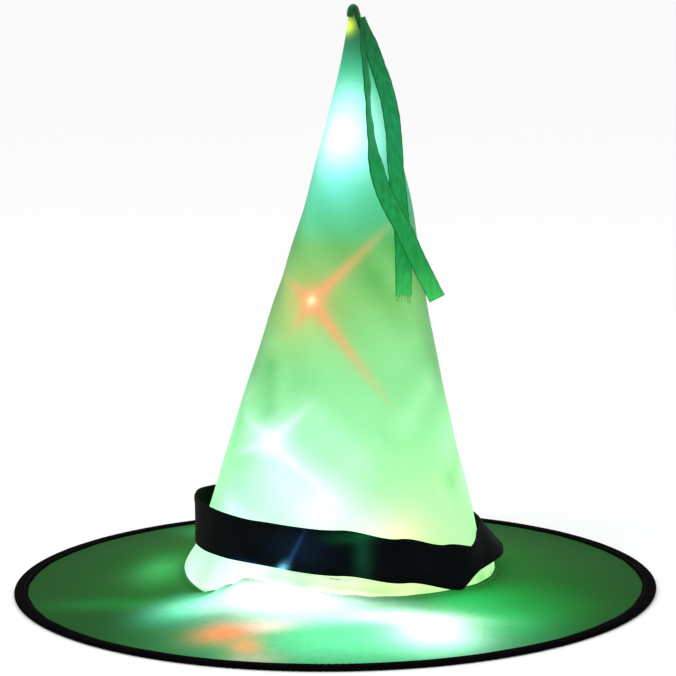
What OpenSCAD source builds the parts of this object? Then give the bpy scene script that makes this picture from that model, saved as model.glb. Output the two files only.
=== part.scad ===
// Light-up witch hat: a thin cloth cone on a wired brim, with a loose band, a hanging
// ribbon, and a coin-cell light string tacked round the inside of the cone.
// Frame: origin at the middle of the brim's underside, +Z up to the tip, front of the hat at -Y.

/* [Brim] */
// Outer diameter of the brim, over the binding
brim_d = 381; // [360:1:400]
// Height of the crown seam above the surface that the hat stands on
seam_z = 11.5; // [9:0.5:14]
// Width of the edge binding
binding_w = 8.4; // [7:0.1:10]
// Height of the bound edge, over tape, wire and cloth
binding_h = 2.8; // [2.6:0.1:3.4]
// Diameter of the steel hoop wire in the edge
hoop_d = 1.6; // [1.2:0.1:1.7]

/* [Crown] */
// Height of the cloth tip above the ground
crown_h = 341.5; // [335:0.5:345]
// Radius of the crown's straight cone, carried down to the ground
cone_foot_r = 89.7; // [89:0.1:91]
// Radius of the rounded tip
tip_r = 1.5; // [1.2:0.1:2]
// How far the crown bulges out over the seam
bulge_out = 5.5; // [4:0.1:6.5]
// Sideways offset of the crown on the brim
crown_offset = 3.4; // [0:0.1:5]
// Sideways lean of the upper crown
crown_lean = 13.2; // [8:0.1:15]
// How far the tip hooks back from the lean
tip_hook = 3.5; // [0:0.1:5]
// Thickness of the cloth
cloth_t = 0.8; // [0.6:0.1:1]

/* [Band] */
// Thickness of the doubled band cloth
band_t = 0.8; // [0.6:0.1:1]
// Middle height of the band's lower edge
band_low = 21.5; // [20:0.5:23]
// Middle height of the band's upper edge
band_top = 46.5; // [44:0.5:50]

/* [Ribbon] */
// Width of the hanging ribbon
ribbon_w = 10; // [8:0.5:10.5]
// Thickness of the ribbon
ribbon_t = 0.5; // [0.4:0.1:0.6]

/* [Light string] */
// Diameter of the lead pair
wire_d = 1.2; // [0.8:0.1:1.4]
// Diameter of a light bead
bead_d = 3.8; // [3:0.1:4]
// Length of a light bead's straight part
bead_straight = 2.4; // [2:0.1:3]

/* [Battery case] */
// Width of the case, round the crown
case_w = 27; // [26.5:0.5:28]
// Length of the case, up the crown
case_l = 40; // [40:0.5:42]
// Depth of the case, from the crown wall inwards
case_d = 10; // [10:0.1:11]
// Wall of the case
case_wall = 1.2; // [1:0.1:1.3]
// Height of the case's lower end above the ground
case_z = 104; // [102:1:110]

/* [Hidden] */

$fn = 96;
gap = 0.1;                      // clearance between pieces that are sewn or clipped together
brim_r = brim_d / 2;
cone_slope = (cone_foot_r - tip_r) / crown_h;
cone_tilt = atan(cone_slope);   // half angle of the cone

// ---- crown shape -------------------------------------------------------------------
lean_from = 40;                 // height where the crown starts to lean
lean_over = 240;                // height over which it leans
hook_from = 280;                // height where the tip starts to hook back
bulge_from = 34;                // height where the foot of the crown starts to bulge
bulge_turn = 135;               // part of a sine wave that the bulge follows, in degrees

function clamp01(t) = min(1, max(0, t));
function ease(t) = let (c = clamp01(t)) c * c * (3 - 2 * c);
function cone_r(z) = tip_r + (crown_h - z) * cone_slope;
function bulge(z) = let (t = clamp01((bulge_from - z) / (bulge_from - seam_z)))
    bulge_out * sin(bulge_turn * t * t);
function crown_r(z) = cone_r(z) + bulge(z);
function crown_x(z) = crown_offset + crown_lean * ease((z - lean_from) / lean_over)
    - tip_hook * pow(max(0, (z - hook_from) / (crown_h - hook_from)), 2);
seam_r = crown_r(seam_z);
opening_r = seam_r - 2;         // radius of the head opening

// ---- helpers -----------------------------------------------------------------------
// A closed solid through rings of points, each ring the same length, capped at both ends.
module skin(rings) {
    n = len(rings[0]);
    last = len(rings) - 1;
    polyhedron(
        points = [for (ring = rings) each ring],
        faces = concat(
            [[for (k = [0 : n - 1]) k]],
            [for (i = [0 : last - 1], k = [0 : n - 1])
                let (a = i * n + k, b = i * n + (k + 1) % n) each [[a, a + n, b], [b, a + n, b + n]]],
            [[for (k = [n - 1 : -1 : 0]) last * n + k]]));
}

// A closed ring-shaped solid through sections that meet end to end.
module loop_skin(sections) {
    n = len(sections[0]);
    m = len(sections);
    polyhedron(
        points = [for (s = sections) each s],
        faces = [for (i = [0 : m - 1], k = [0 : n - 1])
            let (a = i * n + k, b = i * n + (k + 1) % n, c = ((i + 1) % m) * n + k, d = ((i + 1) % m) * n + (k + 1) % n)
                each [[a, c, b], [b, c, d]]]);
}

// Catmull-Rom point at share t between points 1 and 2 of four.
function spline(a, b, c, d, t) = 0.5 * ((2 * b) + (c - a) * t + (2 * a - 5 * b + 4 * c - d) * t * t
    + (3 * b - a - 3 * c + d) * t * t * t);
function smooth_path(p, steps) = let (n = len(p)) concat(
    [for (i = [0 : n - 2], s = [0 : steps - 1])
        spline(p[max(i - 1, 0)], p[i], p[i + 1], p[min(i + 2, n - 1)], s / steps)],
    [p[n - 1]]);
function unit(v) = v / norm(v);
function tangents(p) = let (n = len(p))
    [for (i = [0 : n - 1]) unit(p[min(i + 1, n - 1)] - p[max(i - 1, 0)])];
// Side vectors carried along a path without twist.
function across(t, u) = unit(u - t * (u * t));
function sides(t, u, i = 0) = i == len(t) ? [] : let (s = across(t[i], u)) concat([s], sides(t, s, i + 1));

// ---- cloth -------------------------------------------------------------------------
crown_sides = 48;
crown_levels = 22;
tip_fill = 6;                   // length of the tip that is solid cloth
function crown_z(i, top) = seam_z + (top - seam_z) * pow(i / crown_levels, 1.5);
function crown_ring(z, r) = [for (k = [0 : crown_sides - 1]) let (a = 360 * k / crown_sides)
    [crown_x(z) + r * cos(a), r * sin(a), z]];

module crown_panel() {
    color([0.45, 0.95, 0.6]) difference() {
        skin([for (i = [0 : crown_levels]) let (z = crown_z(i, crown_h)) crown_ring(z, crown_r(z))]);
        skin(concat(
            [crown_ring(seam_z - 1, crown_r(seam_z) - cloth_t)],
            [for (i = [0 : crown_levels]) let (z = crown_z(i, crown_h - tip_fill))
                crown_ring(z, crown_r(z) - cloth_t)]));
    }
}

// The felled seam allowance that runs up the inside of the crown at the back.
module crown_seam() {
    depth = 0.5;
    half = 3.5;
    color([0.4, 0.85, 0.55]) skin([for (z = [36 : 18 : 288]) let (y = crown_r(z) - cloth_t - 0.6)
        [for (c = [[half, 0], [-half, 0], [-half, -depth], [half, -depth]]) [crown_x(z) + c[0], y + c[1], z]]]);
}

edge_z = binding_h / 2;         // middle height of the bound edge
slot_r = brim_r - 3.6;          // the brim cloth ends here, inside the binding
panel_low = edge_z - cloth_t / 2;
panel_rise = seam_z - gap - cloth_t - panel_low;
flat_r = brim_r - binding_w - 0.5;  // the brim cloth is flat outside this radius
function brim_under(r) = panel_low + panel_rise * pow(clamp01((flat_r - r) / (flat_r - opening_r)), 1.15);

module brim_panel() {
    steps = 6;
    inner = opening_r - crown_offset;
    rs = concat([for (i = [0 : steps]) inner + (flat_r - inner) * i / steps], [slot_r]);
    color([0.15, 0.5, 0.2]) difference() {
        rotate_extrude() polygon(concat(
            [for (r = rs) [r, brim_under(r)]],
            [for (i = [steps + 1 : -1 : 0]) [rs[i], brim_under(rs[i]) + cloth_t]]));
        translate([crown_offset, 0, 0]) cylinder(r = opening_r, h = 3 * seam_z);
    }
}

hoop_r = brim_r - 1.9;
sleeve_d = hoop_d + 0.5;
module brim_hoop() {
    color([0.6, 0.6, 0.62]) rotate_extrude() translate([hoop_r, edge_z]) circle(d = hoop_d, $fn = 24);
}

module hoop_sleeve() {
    arc = 5;                    // the sleeve covers this many degrees of the hoop, at the back
    color([0.75, 0.75, 0.72]) rotate([0, 0, 90 - arc / 2]) rotate_extrude(angle = arc) translate([hoop_r, edge_z])
        difference() {
            circle(d = sleeve_d, $fn = 24);
            circle(d = hoop_d + gap, $fn = 24);
        }
}

module brim_binding() {
    round_r = 1.1;
    inner = brim_r - binding_w;
    color([0.03, 0.03, 0.035]) rotate_extrude() difference() {
        union() {
            translate([inner + round_r, 0]) square([binding_w - 2 * round_r, binding_h]);
            translate([inner, round_r]) square([binding_w, binding_h - 2 * round_r]);
            for (x = [inner + round_r, brim_r - round_r], y = [round_r, binding_h - round_r])
                translate([x, y]) circle(r = round_r, $fn = 24);
        }
        translate([inner - 1, panel_low - gap]) square([slot_r - inner + 1 + gap, cloth_t + 2 * gap]);
        translate([hoop_r, edge_z]) circle(d = sleeve_d + gap, $fn = 24);
    }
}

module seam_tape() {
    tape_h = 9.5;
    tape_t = 1;
    outer = opening_r - 6 * gap;
    color([0.9, 0.9, 0.88]) translate([crown_offset, 0, seam_z - cloth_t - 1]) difference() {
        cylinder(r = outer, h = tape_h);
        translate([0, 0, -1]) cylinder(r = outer - tape_t, h = tape_h + 2);
    }
}

// ---- band --------------------------------------------------------------------------
// Angle 0 is the wearer's left (+X), where the band has slipped down onto the bulge.
function band_low_z(a) = band_low - 7 * cos(a);
function band_top_z(a) = band_top - 9.5 * cos(a);
function band_low_r(a) = 89.6 + 4.9 * cos(a);
function band_top_r(a) = 81.4 - 1.6 * cos(a) + 2.2 * cos(2 * a);
function band_section(a, off, t) = [
    for (c = [[band_low_r(a) + off, band_low_z(a)], [band_low_r(a) + off + t, band_low_z(a)],
              [band_top_r(a) + off + t, band_top_z(a)], [band_top_r(a) + off, band_top_z(a)]])
        [crown_offset + c[0] * cos(a), c[0] * sin(a), c[1]]];

module hat_band() {
    pieces = 72;
    color([0.02, 0.03, 0.035]) loop_skin([for (i = [0 : pieces - 1]) band_section(360 * i / pieces, 0, band_t)]);
}

module band_join() {
    half = 6;                   // half the angle that the lapped end covers, at the back
    color([0.03, 0.03, 0.04])
        skin([for (a = [90 - half : 2 : 90 + half]) band_section(a, band_t + gap, 0.6)]);
}

// ---- ribbon ------------------------------------------------------------------------
// The ribbon is folded over the tip and its two tails hang down the side.
fold_x = crown_x(crown_h);
fold_z = crown_h - 2.3;
fold_r = 5;

module ribbon_fold() {
    wall = 0.8;
    leg = 2.7;
    color([0.1, 0.25, 0.15]) translate([fold_x, 0, fold_z]) rotate([90, 0, 0])
        linear_extrude(ribbon_w - 1, center = true) difference() {
            union() {
                circle(r = fold_r, $fn = 48);
                translate([-fold_r, -leg]) square([2 * fold_r, leg]);
            }
            circle(r = fold_r - wall, $fn = 48);
            translate([-fold_r + wall, -fold_r - 1]) square([2 * (fold_r - wall), fold_r + 1]);
            translate([-fold_r - 1, -leg - fold_r]) square([2 * fold_r + 2, fold_r]);
        }
}

// Route points [x, y, z] and the angle that the ribbon's face is turned from the front.
front_tail = [
    [17.6, -4, 335.8, 85], [18.9, -9, 325, 75], [20, -14, 312, 70], [21.2, -18, 300, 70], [21.7, -21, 287, 72],
    [22.7, -24, 275, 70], [23.7, -25, 265, 60], [25, -26, 256, 45], [28, -26.8, 243, 25],
    [32, -28, 233, 18], [37, -29.5, 223, 15], [41.5, -30.5, 215, 12], [46, -31, 205, 12],
    [51.5, -30.5, 193, 15], [60.5, -28, 175, 18]
];
side_tail = [
    [19.6, -4, 335.8, 85], [22, -5.5, 326, 55], [26.4, -8.5, 312, 30], [30.5, -11.5, 299, 20],
    [33.5, -13.5, 288, 20], [35.5, -15, 276, 20], [36.5, -17, 265, 20], [37, -19, 253, 20], [38, -21, 242, 20],
    [39.5, -24, 227, 20], [40.5, -26.5, 215, 20], [41, -30, 200, 20], [41, -36, 178, 20]
];

module ribbon_tail(route) {
    path = smooth_path(route, 2);
    line = [for (p = path) [p[0], p[1], p[2]]];
    along = tangents(line);
    color([0.12, 0.6, 0.28]) skin([for (i = [0 : len(path) - 1])
        let (turn = path[i][3], w = across(along[i], [cos(turn), sin(turn), 0]) * ribbon_w / 2,
             f = unit(cross(along[i], w)) * ribbon_t / 2)
            [line[i] - w - f, line[i] + w - f, line[i] + w + f, line[i] - w + f]]);
}

module ribbon_tail_front() { ribbon_tail(front_tail); }
module ribbon_tail_side() { ribbon_tail(side_tail); }

// ---- places on the inside wall of the crown ----------------------------------------
wire_in = 3;                    // the lead's centre lies this far inside the cloth
// A point inside the cloth: angle from the front, height, and distance in from the wall.
function wall_point(a, z, inset) = let (r = max(crown_r(z) - cloth_t - inset, 0))
    [crown_x(z) + r * sin(a), -r * cos(a), z];

// Draws its children with x round the wall, y up it and z pointing in, from a wall point.
module on_wall(a, z) {
    translate(wall_point(a, z, 0)) rotate([0, 0, a - 90]) rotate([0, -cone_tilt, 0])
        rotate([0, 0, -90]) rotate([90, 0, 0]) children();
}

// ---- light string ------------------------------------------------------------------
// Stops of the lead: angle from the front, height, and what is there.
stops = [
    [180, 160, ""], [181, 178, "tab"], [182, 200, ""], [184, 222, "tab"], [186, 245, ""], [186, 268, "tab"],
    [184, 290, ""], [182, 308, ""], [180, 319, ""], [0, 322, "yellow"], [0, 309, ""], [-10, 292, "tab"],
    [-25, 271, "white"], [-40, 250, ""], [-20, 226, "tab"], [-10, 202, ""], [-20, 176, "red"],
    [-55, 152, "tab"], [-75, 128, ""], [-60, 108, ""], [-35, 95, "white"], [-62, 89, "tab"],
    [-95, 88, "blue"], [-130, 88, "tab"], [-165, 84, "green"], [165, 79, ""], [130, 74, "tab"],
    [95, 66, "blue"], [60, 56, "tab"], [28, 48, "yellow"], [10, 56, ""], [-6, 60, "white"], [-35, 52, "tab"],
    [-75, 38, "green"], [-86, 29, "tab"], [-60, 25, ""], [-25, 25, "blue"], [2, 25, "tab"], [27, 25, "green"]
];
grommet_l = 4;
lead_depth = 3.6;               // depth of the lead's way out of the case
case_gap = 3;                   // the case stands this far off the curved wall
lead_out = [for (v = [case_l - case_wall - 1.5, case_l + 1, case_l + grommet_l, case_l + grommet_l + 4])
    case_point(v, case_gap + lead_depth)];
function case_point(v, n) = wall_point(180, case_z, 0)
    + v * [0, -sin(cone_tilt), cos(cone_tilt)] + n * [0, -cos(cone_tilt), -sin(cone_tilt)];
wire_line = concat(lead_out, [for (s = stops) wall_point(s[0], s[1], wire_in)]);

module light_wire() {
    line = smooth_path(wire_line, 2);
    along = tangents(line);
    side = sides(along, [1, 0, 0]);
    color([0.55, 0.45, 0.2]) skin([for (i = [0 : len(line) - 1]) let (up = cross(along[i], side[i]))
        [for (k = [0 : 7]) line[i] + wire_d / 2 * (cos(45 * k) * side[i] + sin(45 * k) * up)]]);
}

// Beads of one colour, each a capsule moulded round the lead.
module beads(name, tint) {
    first = len(lead_out);
    for (i = [0 : len(stops) - 1]) if (stops[i][2] == name) {
        at = i + first;
        way = unit(wire_line[min(at + 1, len(wire_line) - 1)] - wire_line[at - 1]);
        color(tint) translate(wire_line[at]) rotate([0, acos(way[2]), atan2(way[1], way[0])]) {
            cylinder(d = bead_d, h = bead_straight, center = true, $fn = 32);
            for (s = [-1, 1]) translate([0, 0, s * bead_straight / 2]) sphere(d = bead_d, $fn = 32);
        }
    }
}

module bead_white() { beads("white", [0.95, 0.98, 1]); }
module bead_blue() { beads("blue", [0.3, 0.6, 1]); }
module bead_red() { beads("red", [1, 0.35, 0.2]); }
module bead_yellow() { beads("yellow", [1, 0.9, 0.3]); }
module bead_green() { beads("green", [0.3, 1, 0.5]); }

// Sewn tabs that lie over the lead and hold it to the cloth.
module wire_tabs() {
    tab = [9, 6, 0.4];
    color([0.85, 0.95, 0.88]) for (s = stops) if (s[2] == "tab")
        on_wall(s[0], s[1]) translate([0, 0, wire_in + wire_d / 2 + 11 * gap + tab[2] / 2]) cube(tab, center = true);
}

// ---- battery case, in its own frame: x round the wall, y up it, z inwards --------------
module in_case() { on_wall(180, case_z) translate([0, 0, case_gap]) children(); }

cell_d = 20;
cell_h = 3.2;
cell_v = 17.4;                  // middle of the cells
contact_t = 0.25;
split_v = 28.4;                 // the lid covers up to here, and the fixed cover the rest
lid_t = 1.4;
floor_n = case_d - lid_t;       // plane on which the lid and cover sit
screw_v = 4.2;
screw_r = 0.95;
head_r = 1.9;
head_h = 1.1;
boss_r = 2.4;
button_v = 33.6;
button_r = 2.9;
flange_r = 3.7;
flange_t = 0.6;
button_out = 1.3;               // the button stands this far out of the cover
press = 0.8;                    // travel of the button
board_t = 0.8;
switch_w = 6;
switch_h = 3.9;

module case_pad() {
    pad = [18, 30, 1.8];
    color([0.85, 0.85, 0.82]) on_wall(180, case_z) translate([-pad[0] / 2, 5, case_gap - gap / 2 - pad[2]]) cube(pad);
}

module case_base() {
    inner_w = case_w - 2 * case_wall;
    color([0.92, 0.92, 0.9]) in_case() difference() {
        union() {
            difference() {
                translate([-case_w / 2, 0, 0]) cube([case_w, case_l, floor_n]);
                translate([-inner_w / 2, case_wall, case_wall]) cube([inner_w, case_l - 2 * case_wall, case_d]);
            }
            translate([0, screw_v, 0]) cylinder(r = boss_r, h = floor_n, $fn = 32);
            translate([-inner_w / 2 - 0.5, split_v - 0.8, 0.5]) cube([6, 1, floor_n - 0.5]);
            translate([inner_w / 2 - 5.5, split_v - 0.8, 0.5]) cube([6, 1, floor_n - 0.5]);
        }
        translate([0, screw_v, case_wall]) cylinder(r = screw_r + 0.08, h = case_d, $fn = 32);
        translate([0, case_l - case_wall - 1, lead_depth]) rotate([-90, 0, 0]) cylinder(r = 1.6, h = 3, $fn = 32);
    }
}

module case_cover() {
    v = split_v + gap;
    color([0.92, 0.92, 0.9]) in_case() difference() {
        translate([-case_w / 2, v, floor_n + gap / 2]) cube([case_w, case_l - v, lid_t]);
        translate([0, button_v, 0]) cylinder(r = button_r + 0.15, h = 2 * case_d, $fn = 48);
    }
}

module battery_lid() {
    rib = 0.8;
    color([0.88, 0.88, 0.86]) in_case() difference() {
        union() {
            translate([-case_w / 2, 0, floor_n + gap / 2]) cube([case_w, split_v - gap, lid_t]);
            for (i = [-1 : 1]) translate([-4, 9 + 3 * (i + 1), floor_n + lid_t]) cube([8, rib, 0.4]);
        }
        translate([0, screw_v, 0]) cylinder(r = screw_r + 0.15, h = 2 * case_d, $fn = 32);
        translate([0, screw_v, case_d - head_h + gap / 2]) cylinder(r = head_r + 0.15, h = 3, $fn = 32);
    }
}

module lid_screw() {
    shank = 6;
    arm = 0.5;
    top = case_d + gap / 2;
    color([0.7, 0.7, 0.72]) in_case() translate([0, screw_v, 0]) difference() {
        union() {
            translate([0, 0, top - head_h + 0.05]) cylinder(r = head_r, h = head_h - 0.05, $fn = 32);
            translate([0, 0, top - shank]) cylinder(r = screw_r, h = shank - 0.2, $fn = 32);
        }
        for (a = [0, 90]) rotate([0, 0, a]) translate([-1.2, -arm / 2, top - 0.6]) cube([2.4, arm, 1]);
    }
}

module coin_cells() {
    lip = 0.35;
    color([0.78, 0.78, 0.8]) in_case() for (i = [0, 1])
        translate([0, cell_v, case_wall + gap + contact_t + i * (cell_h + 0.05)]) {
            cylinder(d = cell_d, h = cell_h - lip, $fn = 64);
            translate([0, 0, cell_h - lip - 0.01]) cylinder(d = cell_d - 2.4, h = lip, $fn = 64);
        }
}

contact_w = 5;
module contact_base() {
    color([0.85, 0.75, 0.4]) in_case() translate([-contact_w / 2, cell_v - 8, case_wall + gap / 2])
        cube([contact_w, 21, contact_t]);
}

module contact_lid() {
    color([0.85, 0.75, 0.4]) in_case() translate([-contact_w / 2, cell_v - 8, floor_n + gap / 2 - 0.02 - contact_t])
        cube([contact_w, 16, contact_t]);
}

module circuit_board() {
    color([0.1, 0.4, 0.2]) in_case()
        translate([-case_w / 2 + case_wall + 0.3, split_v + 0.5, case_wall + 0.8])
            cube([case_w - 2 * case_wall - 0.6, case_l - case_wall - split_v - 0.8, board_t]);
}

module switch_body() {
    low = case_wall + 0.8 + board_t + 0.02;
    color([0.15, 0.15, 0.16]) in_case() translate([0, button_v, low]) {
        translate([-switch_w / 2, -switch_w / 2 + 0.2, 0]) cube([switch_w, switch_w - 0.8, switch_h]);
        cylinder(r = 1.4, h = switch_h + 0.4, $fn = 32);
    }
}

module mode_button() {
    under = floor_n + gap / 2;
    color([0.2, 0.2, 0.22]) in_case() translate([0, button_v, 0]) {
        translate([0, 0, under - flange_t - 0.05]) cylinder(r = flange_r, h = flange_t, $fn = 48);
        translate([0, 0, under - flange_t]) cylinder(r = button_r, h = lid_t + flange_t + button_out, $fn = 48);
    }
}

module wire_grommet() {
    color([0.1, 0.1, 0.11]) in_case() translate([0, case_l - case_wall, lead_depth]) rotate([-90, 0, 0])
        difference() {
            union() {
                cylinder(r = 1.5, h = grommet_l, $fn = 32);
                translate([0, 0, case_wall + gap / 2]) cylinder(r1 = 2.4, r2 = 1.6, h = grommet_l - 1.5, $fn = 32);
            }
            translate([0, 0, -1]) cylinder(r = wire_d / 2 + 0.1, h = grommet_l + 5, $fn = 32);
        }
}

crown_panel();
crown_seam();
brim_panel();
brim_hoop();
hoop_sleeve();
brim_binding();
seam_tape();
hat_band();
band_join();
ribbon_fold();
ribbon_tail_front();
ribbon_tail_side();
light_wire();
bead_white();
bead_blue();
bead_red();
bead_yellow();
bead_green();
wire_tabs();
case_pad();
case_base();
case_cover();
battery_lid();
lid_screw();
coin_cells();
contact_base();
contact_lid();
circuit_board();
switch_body();
mode_button();
wire_grommet();
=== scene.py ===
"""Looks of a light-up witch hat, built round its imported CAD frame.

Everything is in the CAD frame. Forms are worked out in millimetres and turned into metres
when a mesh is made. Azimuths are in degrees from +X, so the front of the hat is at -90.
"""

import logging
import math
from dataclasses import dataclass
from enum import Enum
from typing import Any, Optional, Sequence, Union

import bpy
import numpy as np
from mathutils import Matrix, Vector


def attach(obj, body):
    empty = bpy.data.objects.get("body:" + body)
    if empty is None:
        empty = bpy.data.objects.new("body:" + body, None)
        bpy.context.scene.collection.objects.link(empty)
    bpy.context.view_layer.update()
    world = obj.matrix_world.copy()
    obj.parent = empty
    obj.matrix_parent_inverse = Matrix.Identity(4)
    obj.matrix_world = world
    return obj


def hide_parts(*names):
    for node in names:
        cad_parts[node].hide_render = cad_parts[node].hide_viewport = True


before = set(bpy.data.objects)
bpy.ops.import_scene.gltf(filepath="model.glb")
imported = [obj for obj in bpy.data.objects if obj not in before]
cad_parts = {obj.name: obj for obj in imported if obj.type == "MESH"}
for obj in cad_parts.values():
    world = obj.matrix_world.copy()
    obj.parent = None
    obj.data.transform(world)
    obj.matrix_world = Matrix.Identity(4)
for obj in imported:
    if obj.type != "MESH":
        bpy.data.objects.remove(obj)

logging.basicConfig(level=logging.INFO, format="%(name)s: %(message)s")
log = logging.getLogger("witch_hat")

Array = np.ndarray
Colour = tuple[float, float, float]
MM = 0.001  # metres
SEED = 7


class Body(Enum):
    """CAD bodies that pieces ride on."""

    HAT = "hat"
    BAND = "band"
    RIBBON = "ribbon"


class Held(Enum):
    """How a sheet of cloth is held."""

    STRETCHED = "stretched"
    HUNG = "hung"
    FOLDED = "folded"


# ---------------------------------------------------------------------------- maths


def ease(t: Array) -> Array:
    """Smooth step: 3t^2 - 2t^3 with t held between 0 and 1."""
    c = np.clip(t, 0.0, 1.0)
    return c * c * (3.0 - 2.0 * c)


def bell(d: Array) -> Array:
    """Bell curve exp(-d^2)."""
    return np.exp(-np.square(d))


def swing(a: Array, b: float) -> Array:
    """Signed angle from b to a in degrees, from -180 to 180."""
    return (np.asarray(a) - b + 180.0) % 360.0 - 180.0


def unit(v: Array) -> Array:
    """Vectors of an array, each scaled to length 1."""
    return v / np.maximum(np.linalg.norm(v, axis=-1, keepdims=True), 1e-12)


def linear(red: float, green: float, blue: float) -> Colour:
    """A display colour as linear light.

    Args:
        red: red from 0 to 255.
        green: green from 0 to 255.
        blue: blue from 0 to 255.

    Returns:
        The three channels from 0 to 1.
    """
    c = np.array([red, green, blue]) / 255.0
    low, high = c / 12.92, ((c + 0.055) / 1.055) ** 2.4
    return tuple(float(x) for x in np.where(c < 0.04045, low, high))


def through(knots: Sequence[Sequence[float]], count: int) -> Array:
    """Points on a Catmull-Rom curve, spaced evenly along its length.

    Args:
        knots: rows of values; the first three columns are the place.
        count: how many points are wanted.

    Returns:
        An array with one row per point and the columns of the knots.
    """
    k = np.asarray(knots, float)
    p = np.vstack([2 * k[0] - k[1], k, 2 * k[-1] - k[-2]])
    steps = 24
    t = np.linspace(0, 1, steps, endpoint=False)[None, :, None]
    a, b, c, d = (p[i : len(p) - 3 + i][:, None, :] for i in range(4))
    square, cube = 2 * a - 5 * b + 4 * c - d, 3 * b - a - 3 * c + d
    fine = 0.5 * (2 * b + (c - a) * t + square * t**2 + cube * t**3)
    fine = np.vstack([fine.reshape(-1, k.shape[1]), k[-1]])
    along = np.concatenate([[0], np.cumsum(np.linalg.norm(np.diff(fine[:, :3], axis=0), axis=1))])
    want = np.linspace(0, along[-1], count)
    return np.column_stack([np.interp(want, along, fine[:, i]) for i in range(fine.shape[1])])


def ring_through(stations: Sequence[Sequence[float]], azimuth: Array) -> Array:
    """Values round a closed ring, by a smooth step from each station to the next.

    Args:
        stations: rows of (azimuth, value, value, ...), in order of azimuth from -180.
        azimuth: azimuths at which the values are wanted.

    Returns:
        One row of values per azimuth.
    """
    s = np.asarray(stations, float)
    first, last = s[0].copy(), s[-1].copy()
    first[0] += 360.0
    last[0] -= 360.0
    s = np.vstack([last, s, first])
    a = swing(azimuth, 0.0)
    i = np.clip(np.searchsorted(s[:, 0], a, side="right") - 1, 0, len(s) - 2)
    t = ease((a - s[i, 0]) / (s[i + 1, 0] - s[i, 0]))[:, None]
    return s[i, 1:] * (1 - t) + s[i + 1, 1:] * t


def polar(r: Array, rad: Array, z: Union[float, Array], across: Union[float, Array] = 0.0) -> Array:
    """Points at a radius, an angle in radians and a height, all moved sideways by across."""
    return np.stack(np.broadcast_arrays(across + r * np.cos(rad), r * np.sin(rad), z), -1)


def tint_at(stops: Sequence[tuple[float, Colour]], z: Array) -> Array:
    """Linear colour at each height, straight between the nearest stops.

    Args:
        stops: (height, display colour) from the lowest.
        z: heights.

    Returns:
        One colour per height.
    """
    levels = np.array([h for h, _ in stops])
    colours = np.array([linear(*c) for _, c in stops])
    return np.stack([np.interp(z, levels, colours[:, k]) for k in range(3)], -1)


@dataclass(frozen=True)
class Dent:
    """A local rise or dip of the cloth: a bell in azimuth times a bell in height or radius.

    Args:
        azimuth: its middle, in degrees.
        spread: its reach in degrees.
        middle: its height or radius.
        reach: its reach in height or radius.
        depth: how far it moves the cloth.
    """

    azimuth: float
    spread: float
    middle: float
    reach: float
    depth: float

    def on(self, a: Array, along: Array) -> Array:
        """Shift of the cloth at each azimuth and height or radius."""
        round_it = bell(swing(a, self.azimuth) / self.spread)
        return self.depth * round_it * bell((along - self.middle) / self.reach)


# ---------------------------------------------------------------------------- meshes

# A thread has six sides, and two quads close each end of it.
SIDES = 6
CAP = np.array([[0, 5, 4, 3], [0, 3, 2, 1]])


@dataclass
class Mesh:
    """Vertices, quads and face-corner UVs of a piece while it is being made.

    Args:
        points: vertices in millimetres.
        quads: vertex indices, four to a face, outward.
        uv: one (u, v) in millimetres per face corner.
        glow: emitted colour per vertex, or None.
    """

    points: Array
    quads: Array
    uv: Array
    glow: Optional[Array] = None

    @staticmethod
    def joined(parts: Sequence["Mesh"]) -> "Mesh":
        """Several meshes as one.

        Args:
            parts: the meshes, all with a glow or all without.

        Returns:
            One mesh.
        """
        starts = np.cumsum([0] + [len(p.points) for p in parts[:-1]])
        glow = None if parts[0].glow is None else np.vstack([p.glow for p in parts])
        return Mesh(
            np.vstack([p.points for p in parts]),
            np.vstack([p.quads + s for p, s in zip(parts, starts)]),
            np.vstack([p.uv for p in parts]),
            glow,
        )

    def piece(
        self, name: str, finish: "Finish", body: Body, slot: str, stands_for: Sequence[str] = ()
    ) -> bpy.types.Object:
        """Makes the Blender object, smooth-shaded, riding on its body.

        Args:
            name: the piece's name.
            finish: its surface.
            body: the CAD body that it moves with.
            slot: the record's material slot. Not used.
            stands_for: CAD nodes that it replaces.

        Returns:
            The object.
        """
        mesh = bpy.data.meshes.new(name)
        mesh.vertices.add(len(self.points))
        mesh.vertices.foreach_set("co", (self.points * MM).astype(np.float32).ravel())
        mesh.loops.add(self.quads.size)
        mesh.loops.foreach_set("vertex_index", self.quads.astype(np.int32).ravel())
        mesh.polygons.add(len(self.quads))
        mesh.polygons.foreach_set("loop_start", np.arange(0, self.quads.size, 4, dtype=np.int32))
        mesh.update(calc_edges=True)
        layer = mesh.uv_layers.new(name="UVMap")
        layer.data.foreach_set("uv", self.uv.astype(np.float32).ravel())
        if self.glow is not None:
            colours = np.column_stack([self.glow, np.ones(len(self.glow))]).astype(np.float32)
            mesh.attributes.new("glow", "FLOAT_COLOR", "POINT").data.foreach_set("color", colours.ravel())
        mesh.shade_smooth()
        mesh.materials.append(finish.material())
        obj = bpy.data.objects.new(name, mesh)
        bpy.context.scene.collection.objects.link(obj)
        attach(obj, body.value)
        if stands_for:
            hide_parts(*stands_for)
        log.info("%s: %d faces on %s", name, len(self.quads), body.value)
        return obj


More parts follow.
